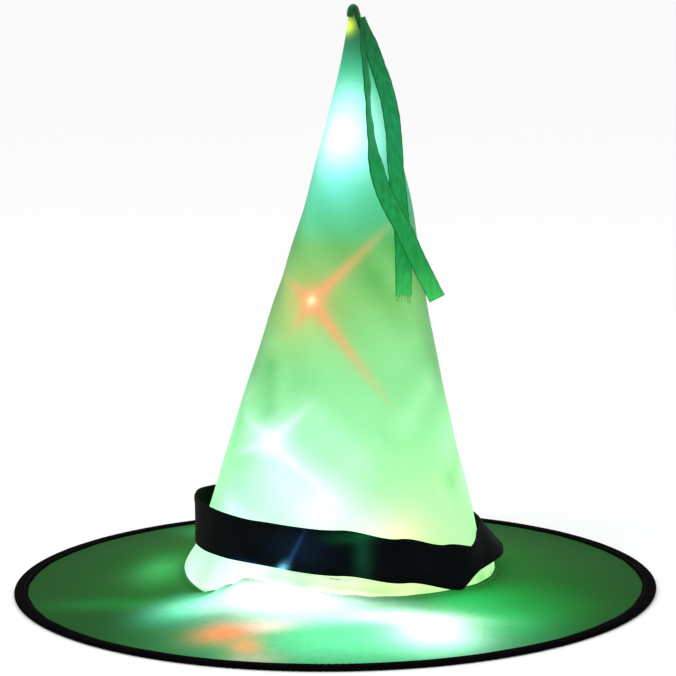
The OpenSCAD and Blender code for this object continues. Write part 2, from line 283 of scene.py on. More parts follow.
def grid_quads(rows: int, cols: int, wrap: bool) -> tuple[Array, Array]:
    """Quads of a grid and the (row, column) of each corner, with the seam column counted on.

    Args:
        rows: rows of points.
        cols: columns of points.
        wrap: whether the last column meets the first.

    Returns:
        Vertex indices and corner places, each four to a face.
    """
    i, j = np.meshgrid(np.arange(rows - 1), np.arange(cols if wrap else cols - 1), indexing="ij")
    i, j = i.ravel(), j.ravel()
    place = np.stack([np.stack(corner, 1) for corner in ((i, j), (i, j + 1), (i + 1, j + 1), (i + 1, j))], 1)
    return place[..., 0] * cols + place[..., 1] % cols, place


def grid_uv(place: Array, points: Array) -> Array:
    """UVs in millimetres: u runs along the columns and v up the rows, by lengths measured on the grid.

    Args:
        place: the (row, column) of each face corner.
        points: rows x columns x 3.

    Returns:
        One (u, v) per face corner.
    """
    rows, cols = points.shape[:2]
    across = np.linalg.norm(np.diff(points[rows // 2], axis=0), axis=-1).mean()
    up = np.concatenate([[0], np.cumsum(np.linalg.norm(np.diff(points[:, cols // 3], axis=0), axis=-1))])
    return np.stack([place[..., 1] * across, up[place[..., 0]]], -1).reshape(-1, 2)


def slab(front: Array, back: Array, wrap: bool, glow: Optional[Array] = None, dim: float = 1.0) -> Mesh:
    """A closed sheet between two grids of points.

    Args:
        front: rows x columns x 3, on the outward side.
        back: the same grid on the other side.
        wrap: whether the columns close into a ring.
        glow: emitted colour per point of the front grid.
        dim: how bright the back is against the front.

    Returns:
        The closed mesh.
    """
    rows, cols = front.shape[:2]
    quads, place = grid_quads(rows, cols, wrap)
    uv = grid_uv(place, front)
    n = rows * cols
    faces = [quads, quads[:, ::-1] + n]
    corners = [uv, uv.reshape(-1, 4, 2)[:, ::-1].reshape(-1, 2)]
    base = quads.reshape(rows - 1, -1, 4)
    edge = uv.reshape(rows - 1, -1, 4, 2)
    foot = np.stack([base[0, :, 1], base[0, :, 0], base[0, :, 0] + n, base[0, :, 1] + n], 1)
    head = np.stack([base[-1, :, 3], base[-1, :, 2], base[-1, :, 2] + n, base[-1, :, 3] + n], 1)
    faces += [foot, head]
    corners += [edge[0][:, [1, 0, 0, 1]].reshape(-1, 2), edge[-1][:, [3, 2, 2, 3]].reshape(-1, 2)]
    if not wrap:
        left = np.stack([base[:, 0, 0], base[:, 0, 3], base[:, 0, 3] + n, base[:, 0, 0] + n], 1)
        right = np.stack([base[:, -1, 2], base[:, -1, 1], base[:, -1, 1] + n, base[:, -1, 2] + n], 1)
        faces += [left, right]
        corners += [edge[:, 0][:, [0, 3, 3, 0]].reshape(-1, 2), edge[:, -1][:, [2, 1, 1, 2]].reshape(-1, 2)]
    light = None if glow is None else np.vstack([glow.reshape(-1, 3), glow.reshape(-1, 3) * dim])
    points = np.vstack([front.reshape(-1, 3), back.reshape(-1, 3)])
    return Mesh(points, np.vstack(faces), np.vstack(corners), light)


def grid_normals(points: Array, wrap: bool) -> Array:
    """Unit normals of a grid: the column direction crossed with the row direction.

    Args:
        points: rows x columns x 3.
        wrap: whether the columns close into a ring.

    Returns:
        One outward normal per point.
    """
    padded = np.concatenate([points[:, -1:], points, points[:, :1]], 1) if wrap else points
    along = np.gradient(padded, axis=1)
    along = along[:, 1:-1] if wrap else along
    return unit(np.cross(along, np.gradient(points, axis=0)))


def tube(path: Array, radius: float) -> Mesh:
    """A thread along an open path, pinched shut at both ends, its rings turned as little as possible.

    Args:
        path: points of the middle line.
        radius: radius of the thread.

    Returns:
        The closed mesh.
    """
    way = unit(np.gradient(path, axis=0))
    side = np.zeros_like(way)
    skew = (0.31, 0.52, 0.79)
    last = np.cross(way[0], skew)
    for i, w in enumerate(way):
        last = unit(last - w * (last @ w))
        side[i] = last
    other = np.cross(way, side)
    a = np.linspace(0, 2 * np.pi, SIDES, endpoint=False)[None, :, None]
    rings = path[:, None] + radius * (np.cos(a) * side[:, None] + np.sin(a) * other[:, None])
    pinch = 0.98
    ends = [path[[k], None].repeat(SIDES, 1) * pinch + rings[[k]] * (1 - pinch) for k in (0, -1)]
    rings = np.concatenate([ends[0], rings, ends[1]], 0)
    quads, place = grid_quads(len(rings), SIDES, True)
    top = CAP[:, ::-1] + (len(rings) - 1) * SIDES
    uv = np.vstack([grid_uv(place, rings), np.zeros((CAP.size * 2, 2))])
    return Mesh(rings.reshape(-1, 3), np.vstack([quads, CAP, top]), uv)


@dataclass(frozen=True)
class Stitch:
    """A sewn stitch: a short hump of thread that rises from the cloth and dives back in.

    Args:
        length: length of one stitch.
        gap: least space between two stitches.
        thick: radius of the thread.
        waist: share of that radius along the stitch.
    """

    length: float
    gap: float
    thick: float
    waist: tuple[float, ...] = (0.55, 1.0, 1.08, 1.0, 0.55)

    def row(self, path: Array, outward: Array, closed: bool) -> Mesh:
        """Stitches spaced evenly along a line: each follows the line, lifted by part of a sine.

        Args:
            path: points of the stitch line, on the cloth.
            outward: the cloth's outward normal, one for the line or one per point.
            closed: whether the line is a loop.

        Returns:
            All the stitches as one mesh.
        """
        outward = np.broadcast_to(outward, path.shape)
        if closed:
            path, outward = np.vstack([path, path[:1]]), np.vstack([outward, outward[:1]])
        along = np.concatenate([[0], np.cumsum(np.linalg.norm(np.diff(path, axis=0), axis=1))])
        count = max(1, int(along[-1] // (self.length + self.gap)))
        starts = np.arange(count) * along[-1] / count
        steps = len(self.waist)
        t = np.linspace(0, 1, steps)
        at = (starts[:, None] + t * self.length).ravel()
        spots = np.column_stack([np.interp(at, along, path[:, i]) for i in range(3)])
        rise = unit(np.column_stack([np.interp(at, along, outward[:, i]) for i in range(3)]))
        hump = np.tile(self.thick * (1.3 * np.sin(np.pi * t) - 0.55), count)[:, None]
        spots = (spots + rise * hump).reshape(count, steps, 3)
        way = unit(np.gradient(spots, axis=1))
        side = unit(np.cross(way, rise.reshape(count, steps, 3)))
        other = np.cross(side, way)
        a = np.linspace(0, 2 * np.pi, SIDES, endpoint=False)[None, None, :, None]
        radius = (self.thick * np.array(self.waist))[None, :, None, None]
        rings = spots[:, :, None] + radius * (np.cos(a) * side[:, :, None] + np.sin(a) * other[:, :, None])
        quads, place = grid_quads(steps, SIDES, True)
        one = np.vstack([quads, CAP, CAP[:, ::-1] + (steps - 1) * SIDES])
        every = (one[None] + (np.arange(count) * steps * SIDES)[:, None, None]).reshape(-1, 4)
        girth = 0.2
        sides = np.stack([place[..., 1] * girth, place[..., 0] * self.length / (steps - 1)], -1)
        uv = np.vstack([sides.reshape(-1, 2), np.zeros((CAP.size * 2, 2))])
        return Mesh(rings.reshape(-1, 3), every, np.tile(uv, (count, 1)))


# ---------------------------------------------------------------------------- finishes

Term = Union["Value", float, Sequence[float]]


class Value:
    """A node socket on which arithmetic makes Math or Vector Math nodes."""

    def __init__(self, graph: "Graph", socket: bpy.types.NodeSocket) -> None:
        """Keeps the socket and the graph that it belongs to."""
        self.graph = graph
        self.socket = socket

    def _pair(self, operation: str, left: Term, right: Term) -> "Value":
        """One operation on two terms, as vectors where either of them is one.

        Args:
            operation: the node's operation.
            left: the first term.
            right: the second term.

        Returns:
            The result.
        """
        vector = any(isinstance(t, Value) and t.socket.type in ("VECTOR", "RGBA") for t in (left, right))
        if vector:
            left, right = (t if isinstance(t, (Value, tuple)) else (t, t, t) for t in (left, right))
        kind = "ShaderNodeVectorMath" if vector else "ShaderNodeMath"
        return self.graph.value(kind, {"operation": operation}, left, right)

    def __add__(self, other: Term) -> "Value":
        """Sum."""
        return self._pair("ADD", self, other)

    __radd__ = __add__

    def __mul__(self, other: Term) -> "Value":
        """Product."""
        return self._pair("MULTIPLY", self, other)

    __rmul__ = __mul__

    def __sub__(self, other: Term) -> "Value":
        """Difference."""
        return self._pair("SUBTRACT", self, other)

    def __rsub__(self, other: Term) -> "Value":
        """Difference from a number."""
        return self._pair("SUBTRACT", other, self)

    def wave(self) -> "Value":
        """Sine of the value, moved to lie between 0 and 1."""
        return self.graph.value("ShaderNodeMath", {"operation": "SINE"}, self) * 0.5 + 0.5

    def band(self, low: float, high: float) -> "Value":
        """0 at low, 1 at high, smooth between them and held outside."""
        smooth = {"interpolation_type": "SMOOTHSTEP"}
        return self.graph.value("ShaderNodeMapRange", smooth, self, low, high, 0.0, 1.0)


class Graph:
    """Nodes of one material."""

    def __init__(self, name: str) -> None:
        """Makes a material that has one principled surface.

        Args:
            name: the material's name.
        """
        self.made = bpy.data.materials.new(name)
        self.made.use_nodes = True
        self.tree = self.made.node_tree
        self.tree.nodes.clear()
        self.shader = self.tree.nodes.new("ShaderNodeBsdfPrincipled")
        output = self.tree.nodes.new("ShaderNodeOutputMaterial")
        self.tree.links.new(self.shader.outputs[0], output.inputs["Surface"])

    def node(self, kind: str, settings: dict[str, Any], *values: Any) -> bpy.types.Node:
        """Makes a node, with its settings first and then its inputs in order.

        Args:
            kind: Blender's name for the node.
            settings: properties of the node.
            values: numbers, colours or other values, one per input; None leaves an input alone.

        Returns:
            The node.
        """
        made = self.tree.nodes.new(kind)
        for key, setting in settings.items():
            setattr(made, key, setting)
        inputs = [s for s in made.inputs if s.enabled]
        for socket, value in zip(inputs, values):
            if isinstance(value, Value):
                self.tree.links.new(value.socket, socket)
            elif value is not None:
                socket.default_value = (*value, 1.0) if socket.type == "RGBA" and len(value) == 3 else value
        return made

    def value(self, kind: str, settings: dict[str, Any], *values: Any) -> Value:
        """The same as node, and gives its first output as a value."""
        made = self.node(kind, settings, *values)
        return Value(self, next(s for s in made.outputs if s.enabled))

    def place(self) -> Value:
        """Object coordinates in millimetres."""
        made = self.node("ShaderNodeTexCoord", {})
        return Value(self, made.outputs["Object"]) * 1000.0

    def cloth(self) -> tuple[Value, Value]:
        """UV coordinates in millimetres, across and along the cloth."""
        made = self.node("ShaderNodeSeparateXYZ", {}, self.value("ShaderNodeUVMap", {"uv_map": "UVMap"}))
        return Value(self, made.outputs[0]), Value(self, made.outputs[1])

    def glow(self) -> Value:
        """The piece's own emitted colour."""
        return Value(self, self.node("ShaderNodeAttribute", {"attribute_name": "glow"}).outputs["Color"])

    def noise(self, at: Value, scale: float, detail: float = 3.0, rough: float = 0.55) -> Value:
        """Noise from 0 to 1, with scale in cells per millimetre."""
        return self.value("ShaderNodeTexNoise", {"noise_dimensions": "3D"}, at, scale, detail, rough)

    def cells(self, at: Value, scale: float) -> Value:
        """Distance to the nearest of scattered points."""
        return self.value("ShaderNodeTexVoronoi", {"feature": "F1"}, at, scale)

    def mix(self, share: Term, first: Term, second: Term) -> Value:
        """Colour between two others.

        Args:
            share: 0 for the first, 1 for the second.
            first: the first colour.
            second: the second colour.

        Returns:
            The mixed colour.
        """
        made = self.tree.nodes.new("ShaderNodeMix")
        made.data_type = "RGBA"
        for socket, value in ((made.inputs[0], share), (made.inputs[6], first), (made.inputs[7], second)):
            if isinstance(value, Value):
                self.tree.links.new(value.socket, socket)
            else:
                socket.default_value = (*value, 1.0) if isinstance(value, tuple) else value
        return Value(self, made.outputs[2])

    def bump(self, height: Value, depth: float, strength: float = 1.0) -> Value:
        """Normal of a rough surface.

        Args:
            height: height of the surface from 0 to 1.
            depth: millimetres that a height of 1 stands for.
            strength: how much of it is seen.

        Returns:
            The normal.
        """
        made = self.node("ShaderNodeBump", {})
        made.inputs["Strength"].default_value = strength
        made.inputs["Distance"].default_value = depth * MM
        self.tree.links.new(height.socket, made.inputs["Height"])
        return Value(self, made.outputs[0])

    def set(self, **inputs: Any) -> bpy.types.Material:
        """Sets the surface's inputs, with underscores for the spaces in their names.

        Args:
            inputs: values by name, such as Base_Color or Coat_Weight.

        Returns:
            The finished material.
        """
        for key, value in inputs.items():
            socket = self.shader.inputs[key.replace("_", " ")]
            if isinstance(value, Value):
                self.tree.links.new(value.socket, socket)
            else:
                socket.default_value = (*value, 1.0) if socket.type == "RGBA" else value
        return self.made


@dataclass(frozen=True)
class Finish:
    """A surface that can be put on pieces. Each kind builds its nodes once."""

    name: str

    def material(self) -> bpy.types.Material:
        """The Blender material, made on first use."""
        label = "look_" + self.name
        return bpy.data.materials.get(label) or self.build(Graph(label))

    def build(self, graph: Graph) -> bpy.types.Material:
        """Makes the nodes."""
        raise NotImplementedError

    def weave(self, graph: Graph, across: float, along: float) -> Value:
        """Plain weave height from 0 to 1: warp and weft humps that take turns.

        Args:
            graph: the material's nodes.
            across: pitch of the warp in millimetres.
            along: pitch of the weft in millimetres.

        Returns:
            The height.
        """
        u, v = graph.cloth()
        warp, weft = (u * (2 * math.pi / across)).wave(), (v * (2 * math.pi / along)).wave()
        turn = ((u * (math.pi / across)).wave() - 0.5) * ((v * (math.pi / along)).wave() - 0.5)
        return warp * 0.5 + weft * 0.4 + turn * 0.6


@dataclass(frozen=True)
class LitCloth(Finish):
    """Thin cloth with light behind it: the piece gives its glow, and weave and slubs shade it.

    Args:
        base: colour of the dye.
        thread: pitch of the warp in millimetres.
        grain: how much the threads shade the cloth.
        depth: height of the threads in millimetres.
        rough: roughness.
        mottle: how cloudy the glow is.
        gloss: strength of its shine.
    """

    base: Colour = (0.1, 0.3, 0.15)
    thread: float = 0.45
    grain: float = 0.12
    depth: float = 0.12
    rough: float = 0.6
    mottle: float = 0.25
    gloss: float = 0.08

    def build(self, graph: Graph) -> bpy.types.Material:
        """Makes the nodes: weave, slubs and specks shade both the dye and the glow.

        Args:
            graph: the material's nodes.

        Returns:
            The finished material.
        """
        at = graph.place()
        weave = self.weave(graph, self.thread, self.thread * 1.15)
        slub = graph.noise(at * (0.25, 0.25, 1.6), 0.8, 4.0)
        cloud = graph.noise(at, 0.035, 3.0)
        speck = graph.noise(at, 1.6, 2.0)
        shade = (1.0 - self.mottle) + cloud * (2 * self.mottle)
        fine = (1.0 - self.grain) + speck * self.grain + weave * (self.grain * 0.6)
        fine = fine + slub * (self.grain * 0.8)
        deep, pale = tuple(c * 0.75 for c in self.base), tuple(min(1.0, c * 1.3) for c in self.base)
        colour = graph.mix(cloud, deep, pale)
        return graph.set(
            Base_Color=colour * fine,
            Roughness=self.rough - 0.1 + slub * 0.2,
            Specular_IOR_Level=self.gloss,
            Emission_Color=graph.glow() * shade * fine,
            Emission_Strength=1.0,
            Normal=graph.bump(weave * 0.7 + slub * 0.5, self.depth, 0.6),
        )


@dataclass(frozen=True)
class Woven(Finish):
    """Matt woven cloth, tape or thread, with lint and worn patches.

    Args:
        base: colour of the dye.
        worn: colour where it is worn.
        thread: pitch of the warp in millimetres.
        depth: height of the threads in millimetres.
        rough: roughness.
        gloss: strength of its shine.
        lit: whether it shows the piece's glow.
    """

    base: Colour = (0.02, 0.02, 0.025)
    worn: Colour = (0.05, 0.05, 0.055)
    thread: float = 0.6
    depth: float = 0.2
    rough: float = 0.8
    gloss: float = 0.3
    lit: bool = False

    def build(self, graph: Graph) -> bpy.types.Material:
        """Makes the nodes: the weave shades the dye, and lint and cloudy wear lighten it.

        Args:
            graph: the material's nodes.

        Returns:
            The finished material.
        """
        at = graph.place()
        weave = self.weave(graph, self.thread, self.thread * 1.3)
        cloud, lint = graph.noise(at, 0.06, 4.0), graph.noise(at, 2.2, 3.0)
        wear = (cloud * 0.7 + lint * 0.5).band(0.5, 0.95)
        values = {
            "Base_Color": graph.mix(wear, self.base, self.worn) * (0.7 + weave * 0.5),
            "Roughness": self.rough - 0.12 + lint * 0.2,
            "Specular_IOR_Level": self.gloss,
            "Normal": graph.bump(weave + lint * 0.4, self.depth, 0.8),
        }
        if self.lit:
            values |= {"Emission_Color": graph.glow() * (0.55 + weave * 0.6), "Emission_Strength": 1.0}
        return graph.set(**values)


@dataclass(frozen=True)
class Satin(Finish):
    """Satin ribbon: long floats, a woven selvedge on each edge and light from the cloth below.

    Args:
        base: colour of the dye.
        bright: colour of the lighter patches, where the painted glow is also stronger.
        width: width of the ribbon in millimetres.
        float_pitch: distance between two floats.
        step_pitch: distance between two steps along a float.
        cord_pitch: distance between two cords in the selvedge.
        selvedge: distances from the edge where the selvedge begins and where it is full.
    """

    base: Colour = (0.002, 0.09, 0.022)
    bright: Colour = (0.006, 0.16, 0.045)
    width: float = 10.0
    float_pitch: float = 0.22
    step_pitch: float = 0.5
    cord_pitch: float = 0.4
    selvedge: tuple[float, float] = (0.9, 0.5)

    def build(self, graph: Graph) -> bpy.types.Material:
        """Makes the nodes: floats side by side, steps along them, and cords in the selvedge.

        Args:
            graph: the material's nodes.

        Returns:
            The finished material.
        """
        u, v = graph.cloth()
        at = graph.place()
        floats = (u * (2 * math.pi / self.float_pitch)).wave()
        steps = (v * (2 * math.pi / self.step_pitch) + u * 9.0).wave()
        half = self.width / 2
        off_middle = graph.value("ShaderNodeMath", {"operation": "ABSOLUTE"}, u - half)
        edge = off_middle.band(half - self.selvedge[0], half - self.selvedge[1])
        cords = (u * (2 * math.pi / self.cord_pitch)).wave()
        lighter_patch = graph.noise(at * (1.0, 1.0, 0.2), 0.5, 3.0)
        height = floats * 0.4 + steps * 0.3 + edge * cords
        colour = graph.mix(lighter_patch.band(0.3, 0.75), self.base, self.bright)
        return graph.set(
            Base_Color=colour * (1.0 - edge * 0.35) * (0.85 + floats * 0.2),
            Roughness=0.3 + lighter_patch * 0.15 + edge * 0.3,
            Specular_IOR_Level=0.12,
            Anisotropic=0.5,
            # Painted glow: the light of the lit cloth below, stronger in the lighter patches and weaker in
            # the selvedge.
            Emission_Color=graph.glow() * (0.75 + lighter_patch * 0.4) * (1.0 - edge * 0.4),
            Emission_Strength=1.0,
            Normal=graph.bump(height, 0.12, 0.7),
        )


@dataclass(frozen=True)
class Moulded(Finish):
    """Moulded plastic, rubber or lacquer: spark-eroded grain, a few scuffs and dull patches.

    Args:
        base: colour of the material.
        rough: roughness.
        grain: height of the grain in millimetres.
        coat: strength of a clear coat.
    """

    base: Colour = (0.8, 0.8, 0.77)
    rough: float = 0.42
    grain: float = 0.05
    coat: float = 0.0

    def build(self, graph: Graph) -> bpy.types.Material:
        """Makes the nodes: fine grain with stretched scuffs on a slightly uneven colour.

        Args:
            graph: the material's nodes.

        Returns:
            The finished material.
        """
        at = graph.place()
        grain, cloud = graph.noise(at, 4.5, 3.0), graph.noise(at, 0.12, 4.0)
        scuff = graph.noise(at * (0.2, 3.0, 1.0), 0.7, 4.0).band(0.62, 0.72)
        dull = tuple(c * 0.82 for c in self.base)
        return graph.set(
            Base_Color=graph.mix(cloud.band(0.3, 0.8), self.base, dull) * (0.97 + grain * 0.06),
            Roughness=self.rough + scuff * 0.2 + grain * 0.1 - 0.05,
            Coat_Weight=self.coat,
            Normal=graph.bump(grain + scuff * 0.3, self.grain, 0.7),
        )


@dataclass(frozen=True)
class Metal(Finish):
    """Drawn or turned metal with fine lines, smudges and a little tarnish.

    Args:
        base: colour of the clean metal.
        dull: colour of the tarnish.
        rough: roughness.
    """

    base: Colour = (0.62, 0.62, 0.63)
    dull: Colour = (0.38, 0.36, 0.33)
    rough: float = 0.28

    def build(self, graph: Graph) -> bpy.types.Material:
        """Makes the nodes: stretched lines under smudges of tarnish.

        Args:
            graph: the material's nodes.

        Returns:
            The finished material.
        """
        at = graph.place()
        lines = graph.noise(at * (1.0, 1.0, 9.0), 3.0, 4.0)
        smudge, spots = graph.noise(at, 0.3, 4.0), graph.noise(at, 1.4, 5.0)
        tarnish = (smudge * 0.6 + spots * 0.5).band(0.58, 0.85)
        return graph.set(
            Base_Color=graph.mix(tarnish, self.base, self.dull),
            Metallic=1.0,
            Roughness=self.rough + tarnish * 0.3 + lines * 0.12,
            Normal=graph.bump(lines + spots * 0.3, 0.03, 0.6),
        )


@dataclass(frozen=True)
class LitBead(Finish):
    """Clear resin bead round a lit chip: pale in cloudy patches, tinted elsewhere, with specks.

    Args:
        tint: colour of its light.
        power: strength of its light.
    """

    tint: Colour = (1.0, 1.0, 1.0)
    power: float = 4.0

    def build(self, graph: Graph) -> bpy.types.Material:
        """Makes the nodes: a cloudy pale core, and specks that dim it.

        Args:
            graph: the material's nodes.

        Returns:
            The finished material.
        """
        at = graph.place()
        cloud, speck = graph.noise(at, 0.7, 3.0), graph.cells(at, 1.6).band(0.05, 0.3)
        core = graph.mix(cloud.band(0.35, 0.7), self.tint, tuple(0.5 + 0.5 * c for c in self.tint))
        return graph.set(
            Base_Color=core * 0.6,
            Roughness=0.12 + cloud * 0.1,
            Coat_Weight=0.6,
            Emission_Color=core * (0.75 + speck * 0.25),
            Emission_Strength=self.power,
            Normal=graph.bump(speck, 0.05, 0.4),
        )


# ---------------------------------------------------------------------------- light

# Everything in this section is painted light: the beads' light through the cloth, its pools on the brim, the
# folds' shade and the band's shadow, all given as emitted colour.
# A lamp's halo: its brightness against the core, and its reach against the lamp's own halo size.
HALO_SHARE = 0.22
HALO_REACH = 1.8
# A streak: its width at the spot and how much of that it loses, its haze, how it fades along its
# length, and the depth over which it fades as the cloth turns to the other side. In millimetres.
ARM_WIDTH = 3.2
ARM_TAPER = 1.2
HAZE_SHARE = 0.45
HAZE_WIDTH = 7.0
ARM_FADE = 0.9
SIDE_FADE = 12.0


@dataclass(frozen=True)
class Lamp:
    """The painted light that one bead casts on the crown.

    Args:
        spot: the brightest point, in millimetres.
        tint: display colour from 0 to 255.
        power: brightness of the core.
        core: radius of the core.
        halo: radius of the soft glow.
        arms: ends (x, z) of the streaks that cross the spot.
        arm_tint: display colour of the streaks.
        arm_power: brightness of the streaks.
    """

    spot: tuple[float, float, float]
    tint: Colour
    power: float = 1.0
    core: float = 6.0
    halo: float = 22.0
    arms: tuple[tuple[float, float], ...] = ()
    arm_tint: Colour = (255, 255, 255)
    arm_power: float = 0.7

    def lay(self, light: Array, points: Array) -> Array:
        """Puts the bead's painted light over the light already there.

        Each arm covers the light in a bell across it that fades to its end. Then the core and the
        halo are added, each a bell of the distance. Arms stay on the spot's side of the crown.

        Args:
            light: light on the cloth so far.
            points: places on the cloth.

        Returns:
            The light with the mark on it.
        """
        d = np.linalg.norm(points - self.spot, axis=-1)
        near = self.power * bell(d / self.core) + HALO_SHARE * self.power * bell(d / (self.halo * HALO_REACH))
        middle = np.array(self.spot)[[0, 2]]
        flat = points[..., [0, 2]] - middle
        same_side = ease(points[..., 1] * math.copysign(1.0, self.spot[1]) / SIDE_FADE + 0.5)
        for end in self.arms:
            way = np.array(end) - middle
            t = np.clip((flat @ way) / (way @ way), 0, 1)
            off = np.linalg.norm(flat - t[..., None] * way, axis=-1)
            streak = bell(off / (ARM_WIDTH - ARM_TAPER * t)) + HAZE_SHARE * bell(off / HAZE_WIDTH) * (1 - t)
            share = np.clip(self.arm_power * (streak * (1 - t) ** ARM_FADE * same_side), 0, 1)[..., None]
            light = light * (1 - share) + share * np.array(linear(*self.arm_tint))
        return light + near[..., None] * np.array(linear(*self.tint))


@dataclass(frozen=True)
class Pool:
    """A patch of light seen flat on: on the brim in (x, y), on the band in (x, z).

    Args:
        spot: middle of the patch.
        tint: display colour from 0 to 255.
        power: brightness.
        size: reach along and across.
        turn: angle of the long side, in degrees.
        cover: how much of the light under it the patch hides.
    """

    spot: tuple[float, float]
    tint: Colour
    power: float
    size: tuple[float, float]
    turn: float = 0.0
    cover: float = 0.0

    def lay(self, light: Array, flat: Array) -> Array:
        """Puts the patch over the light already there: a bell stretched along its turn.

        Args:
            light: light on the cloth so far.
            flat: places on the cloth, seen flat on.

        Returns:
            The light with the patch on it.
        """
        a = math.radians(self.turn)
        d = flat - np.array(self.spot)
        along = (d[..., 0] * math.cos(a) + d[..., 1] * math.sin(a)) / self.size[0]
        across = (d[..., 1] * math.cos(a) - d[..., 0] * math.sin(a)) / self.size[1]
        share = bell(np.hypot(along, across))[..., None]
        return light * (1 - self.cover * share) + self.power * share * np.array(linear(*self.tint))


@dataclass(frozen=True)
class Light:
    """All the painted light that comes through the cloth: a tint for each height, and the lamps' painted
    glows.

    Args:
        centre: sideways place of the brim's hole.
        middle: sideways place of the crown's middle, about halfway up.
        side_dark: how much darker the crown's left and right sides are, high up, as painted shade.
        dark_foot: height where that begins.
        dark_length: height over which it grows.
        warm_spot: (x, z) of a warm patch on the crown.
        warm_reach: its reach in x and z.
        warm_tint: light that it adds.
        contrast: how strongly the folds' shade acts on red, green and blue.
        gain: brightness of the crown.
        brim_tint: display colour of the painted glow on the brim by the seam.
        brim_far: share of that light far from the seam.
        brim_fade: distance over which it fades.
        ring_dark: how much darker the ring by the seam is, as the band's painted shadow on the brim.
        ring_width: distance of that ring from the seam, and its reach.
        heights: (height, display colour) of the painted glow on the crown.
        lamps: marks on the crown.
    """

    centre: float = 3.4
    middle: float = 6.0
    side_dark: float = 0.46
    dark_foot: float = 90.0
    dark_length: float = 60.0
    warm_spot: tuple[float, float] = (52, 58)
    warm_reach: tuple[float, float] = (38, 46)
    warm_tint: Colour = (0.1, 0.08, 0.0)
    contrast: Colour = (1.7, 0.8, 1.7)
    gain: float = 0.92
    brim_tint: Colour = (16, 94, 18)
    brim_far: float = 0.35
    brim_fade: float = 55.0
    ring_dark: float = 0.3
    ring_width: float = 4.0
    heights: tuple[tuple[float, Colour], ...] = (
        (12, (178, 250, 165)), (57, (170, 254, 180)), (99, (158, 252, 176)), (130, (146, 238, 155)),
        (150, (143, 230, 143)), (176, (128, 206, 112)), (205, (108, 194, 104)), (219, (84, 204, 140)),
        (245, (70, 205, 150)), (262, (60, 205, 160)), (288, (56, 198, 145)), (305, (22, 184, 126)),
        (320, (28, 130, 84)), (341, (10, 40, 24)),
    )
    lamps: tuple[Lamp, ...] = (
        Lamp((10, -2.5, 331), (225, 250, 60), 1.2, 4.0, 3),
        Lamp((6, -17, 268), (205, 255, 255), 1.6, 17, 18),
        Lamp((10, -13, 288), (170, 255, 240), 0.5, 13, 6),
        Lamp((4, -22, 246), (60, 210, 255), 0.24, 16, 10),
        Lamp((-20, -36, 172), (255, 70, 0), 0.26, 24, 3),
        Lamp((-12, -38, 176), (255, 240, 190), 0.7, 2.4, 3,
             ((39, 223), (-30, 188), (-27, 153), (38, 111)), (255, 176, 116), 0.82),
        Lamp((-36, -50, 96), (225, 250, 255), 0.42, 5, 12,
             ((-54, 110), (-8, 124), (6, 62), (-60, 84)), (226, 250, 255), 0.9),
        Lamp((-30, -60, 76), (215, 235, 255), 0.4, 30, 4),
        Lamp((-5, -73, 60), (235, 245, 255), 0.55, 20, 14),
        Lamp((22, -74, 48), (235, 255, 235), 0.35, 14, 10),
        Lamp((40, -68, 44), (255, 225, 150), 0.32, 13, 8),
        Lamp((-70, -50, 52), (150, 255, 235), 0.35, 26, 4),
        Lamp((-50, -70, 18), (225, 255, 255), 0.8, 32, 10),
        Lamp((0, -88, 16), (255, 250, 225), 0.4, 22, 6),
        Lamp((40, -80, 16), (255, 255, 140), 0.3, 34, 4),
        Lamp((-84, -24, 14), (170, 255, 245), 0.4, 22, 8),
        Lamp((-70, 52, 88), (110, 190, 255), 0.6, 8, 20),
        Lamp((-2, 72, 84), (120, 255, 170), 0.7, 8, 20, ((-30, 110), (34, 104)), (190, 255, 215), 0.7),
        Lamp((72, 6, 66), (150, 210, 255), 0.25, 10, 14),
    )

    def on_crown(self, points: Array, shade: Array) -> Array:
        """Emitted colour on the crown.

        Args:
            points: places on the cloth.
            shade: how much the folds lighten or darken each place, about 1.

        Returns:
            The painted light: the tint of the height, darker at the left and right sides high up as painted
                shade, warmer in one patch, with the folds' painted shade and the lamps' painted glows.
        """
        x, y, z = np.moveaxis(points, -1, 0)
        base = tint_at(self.heights, z)
        # Painted shade: the crown's left and right sides are darker higher up.
        facing = np.abs(y) / np.maximum(np.hypot(x - self.middle, y), 1e-6)
        dark = self.side_dark * ease((z - self.dark_foot) / self.dark_length)
        base = base * (1 - dark * (1 - ease(facing * 1.25)))[..., None]
        (spot_x, spot_z), (reach_x, reach_z) = self.warm_spot, self.warm_reach
        warm = bell((x - spot_x) / reach_x) * bell((z - spot_z) / reach_z)
        base = base + warm[..., None] * np.array(self.warm_tint)
        light = base * shade[..., None] ** np.array(self.contrast)
        for lamp in self.lamps:
            light = lamp.lay(light, points)
        return light * self.gain

    def on_brim(self, points: Array, pools: Sequence[Pool], ring: float) -> Array:
        """Emitted colour on the brim: a painted green glow that fades outward, the painted pools, and the
        band's painted shadow in a ring by the seam.

        Args:
            points: places on the cloth.
            pools: patches of light on it.
            ring: radius of the seam.

        Returns:
            The light.
        """
        flat = points[..., :2]
        out = np.linalg.norm(flat - [self.centre, 0.0], axis=-1) - ring
        share = self.brim_far + (1 - self.brim_far) * bell(out / self.brim_fade)
        light = share[..., None] * np.array(linear(*self.brim_tint))
        for pool in pools:
            light = pool.lay(light, flat)
        # The band's painted shadow: a darker ring just outside the seam.
        return light * (1 - self.ring_dark * bell((out - self.ring_width) / self.ring_width))[..., None]


# ---------------------------------------------------------------------------- the hat


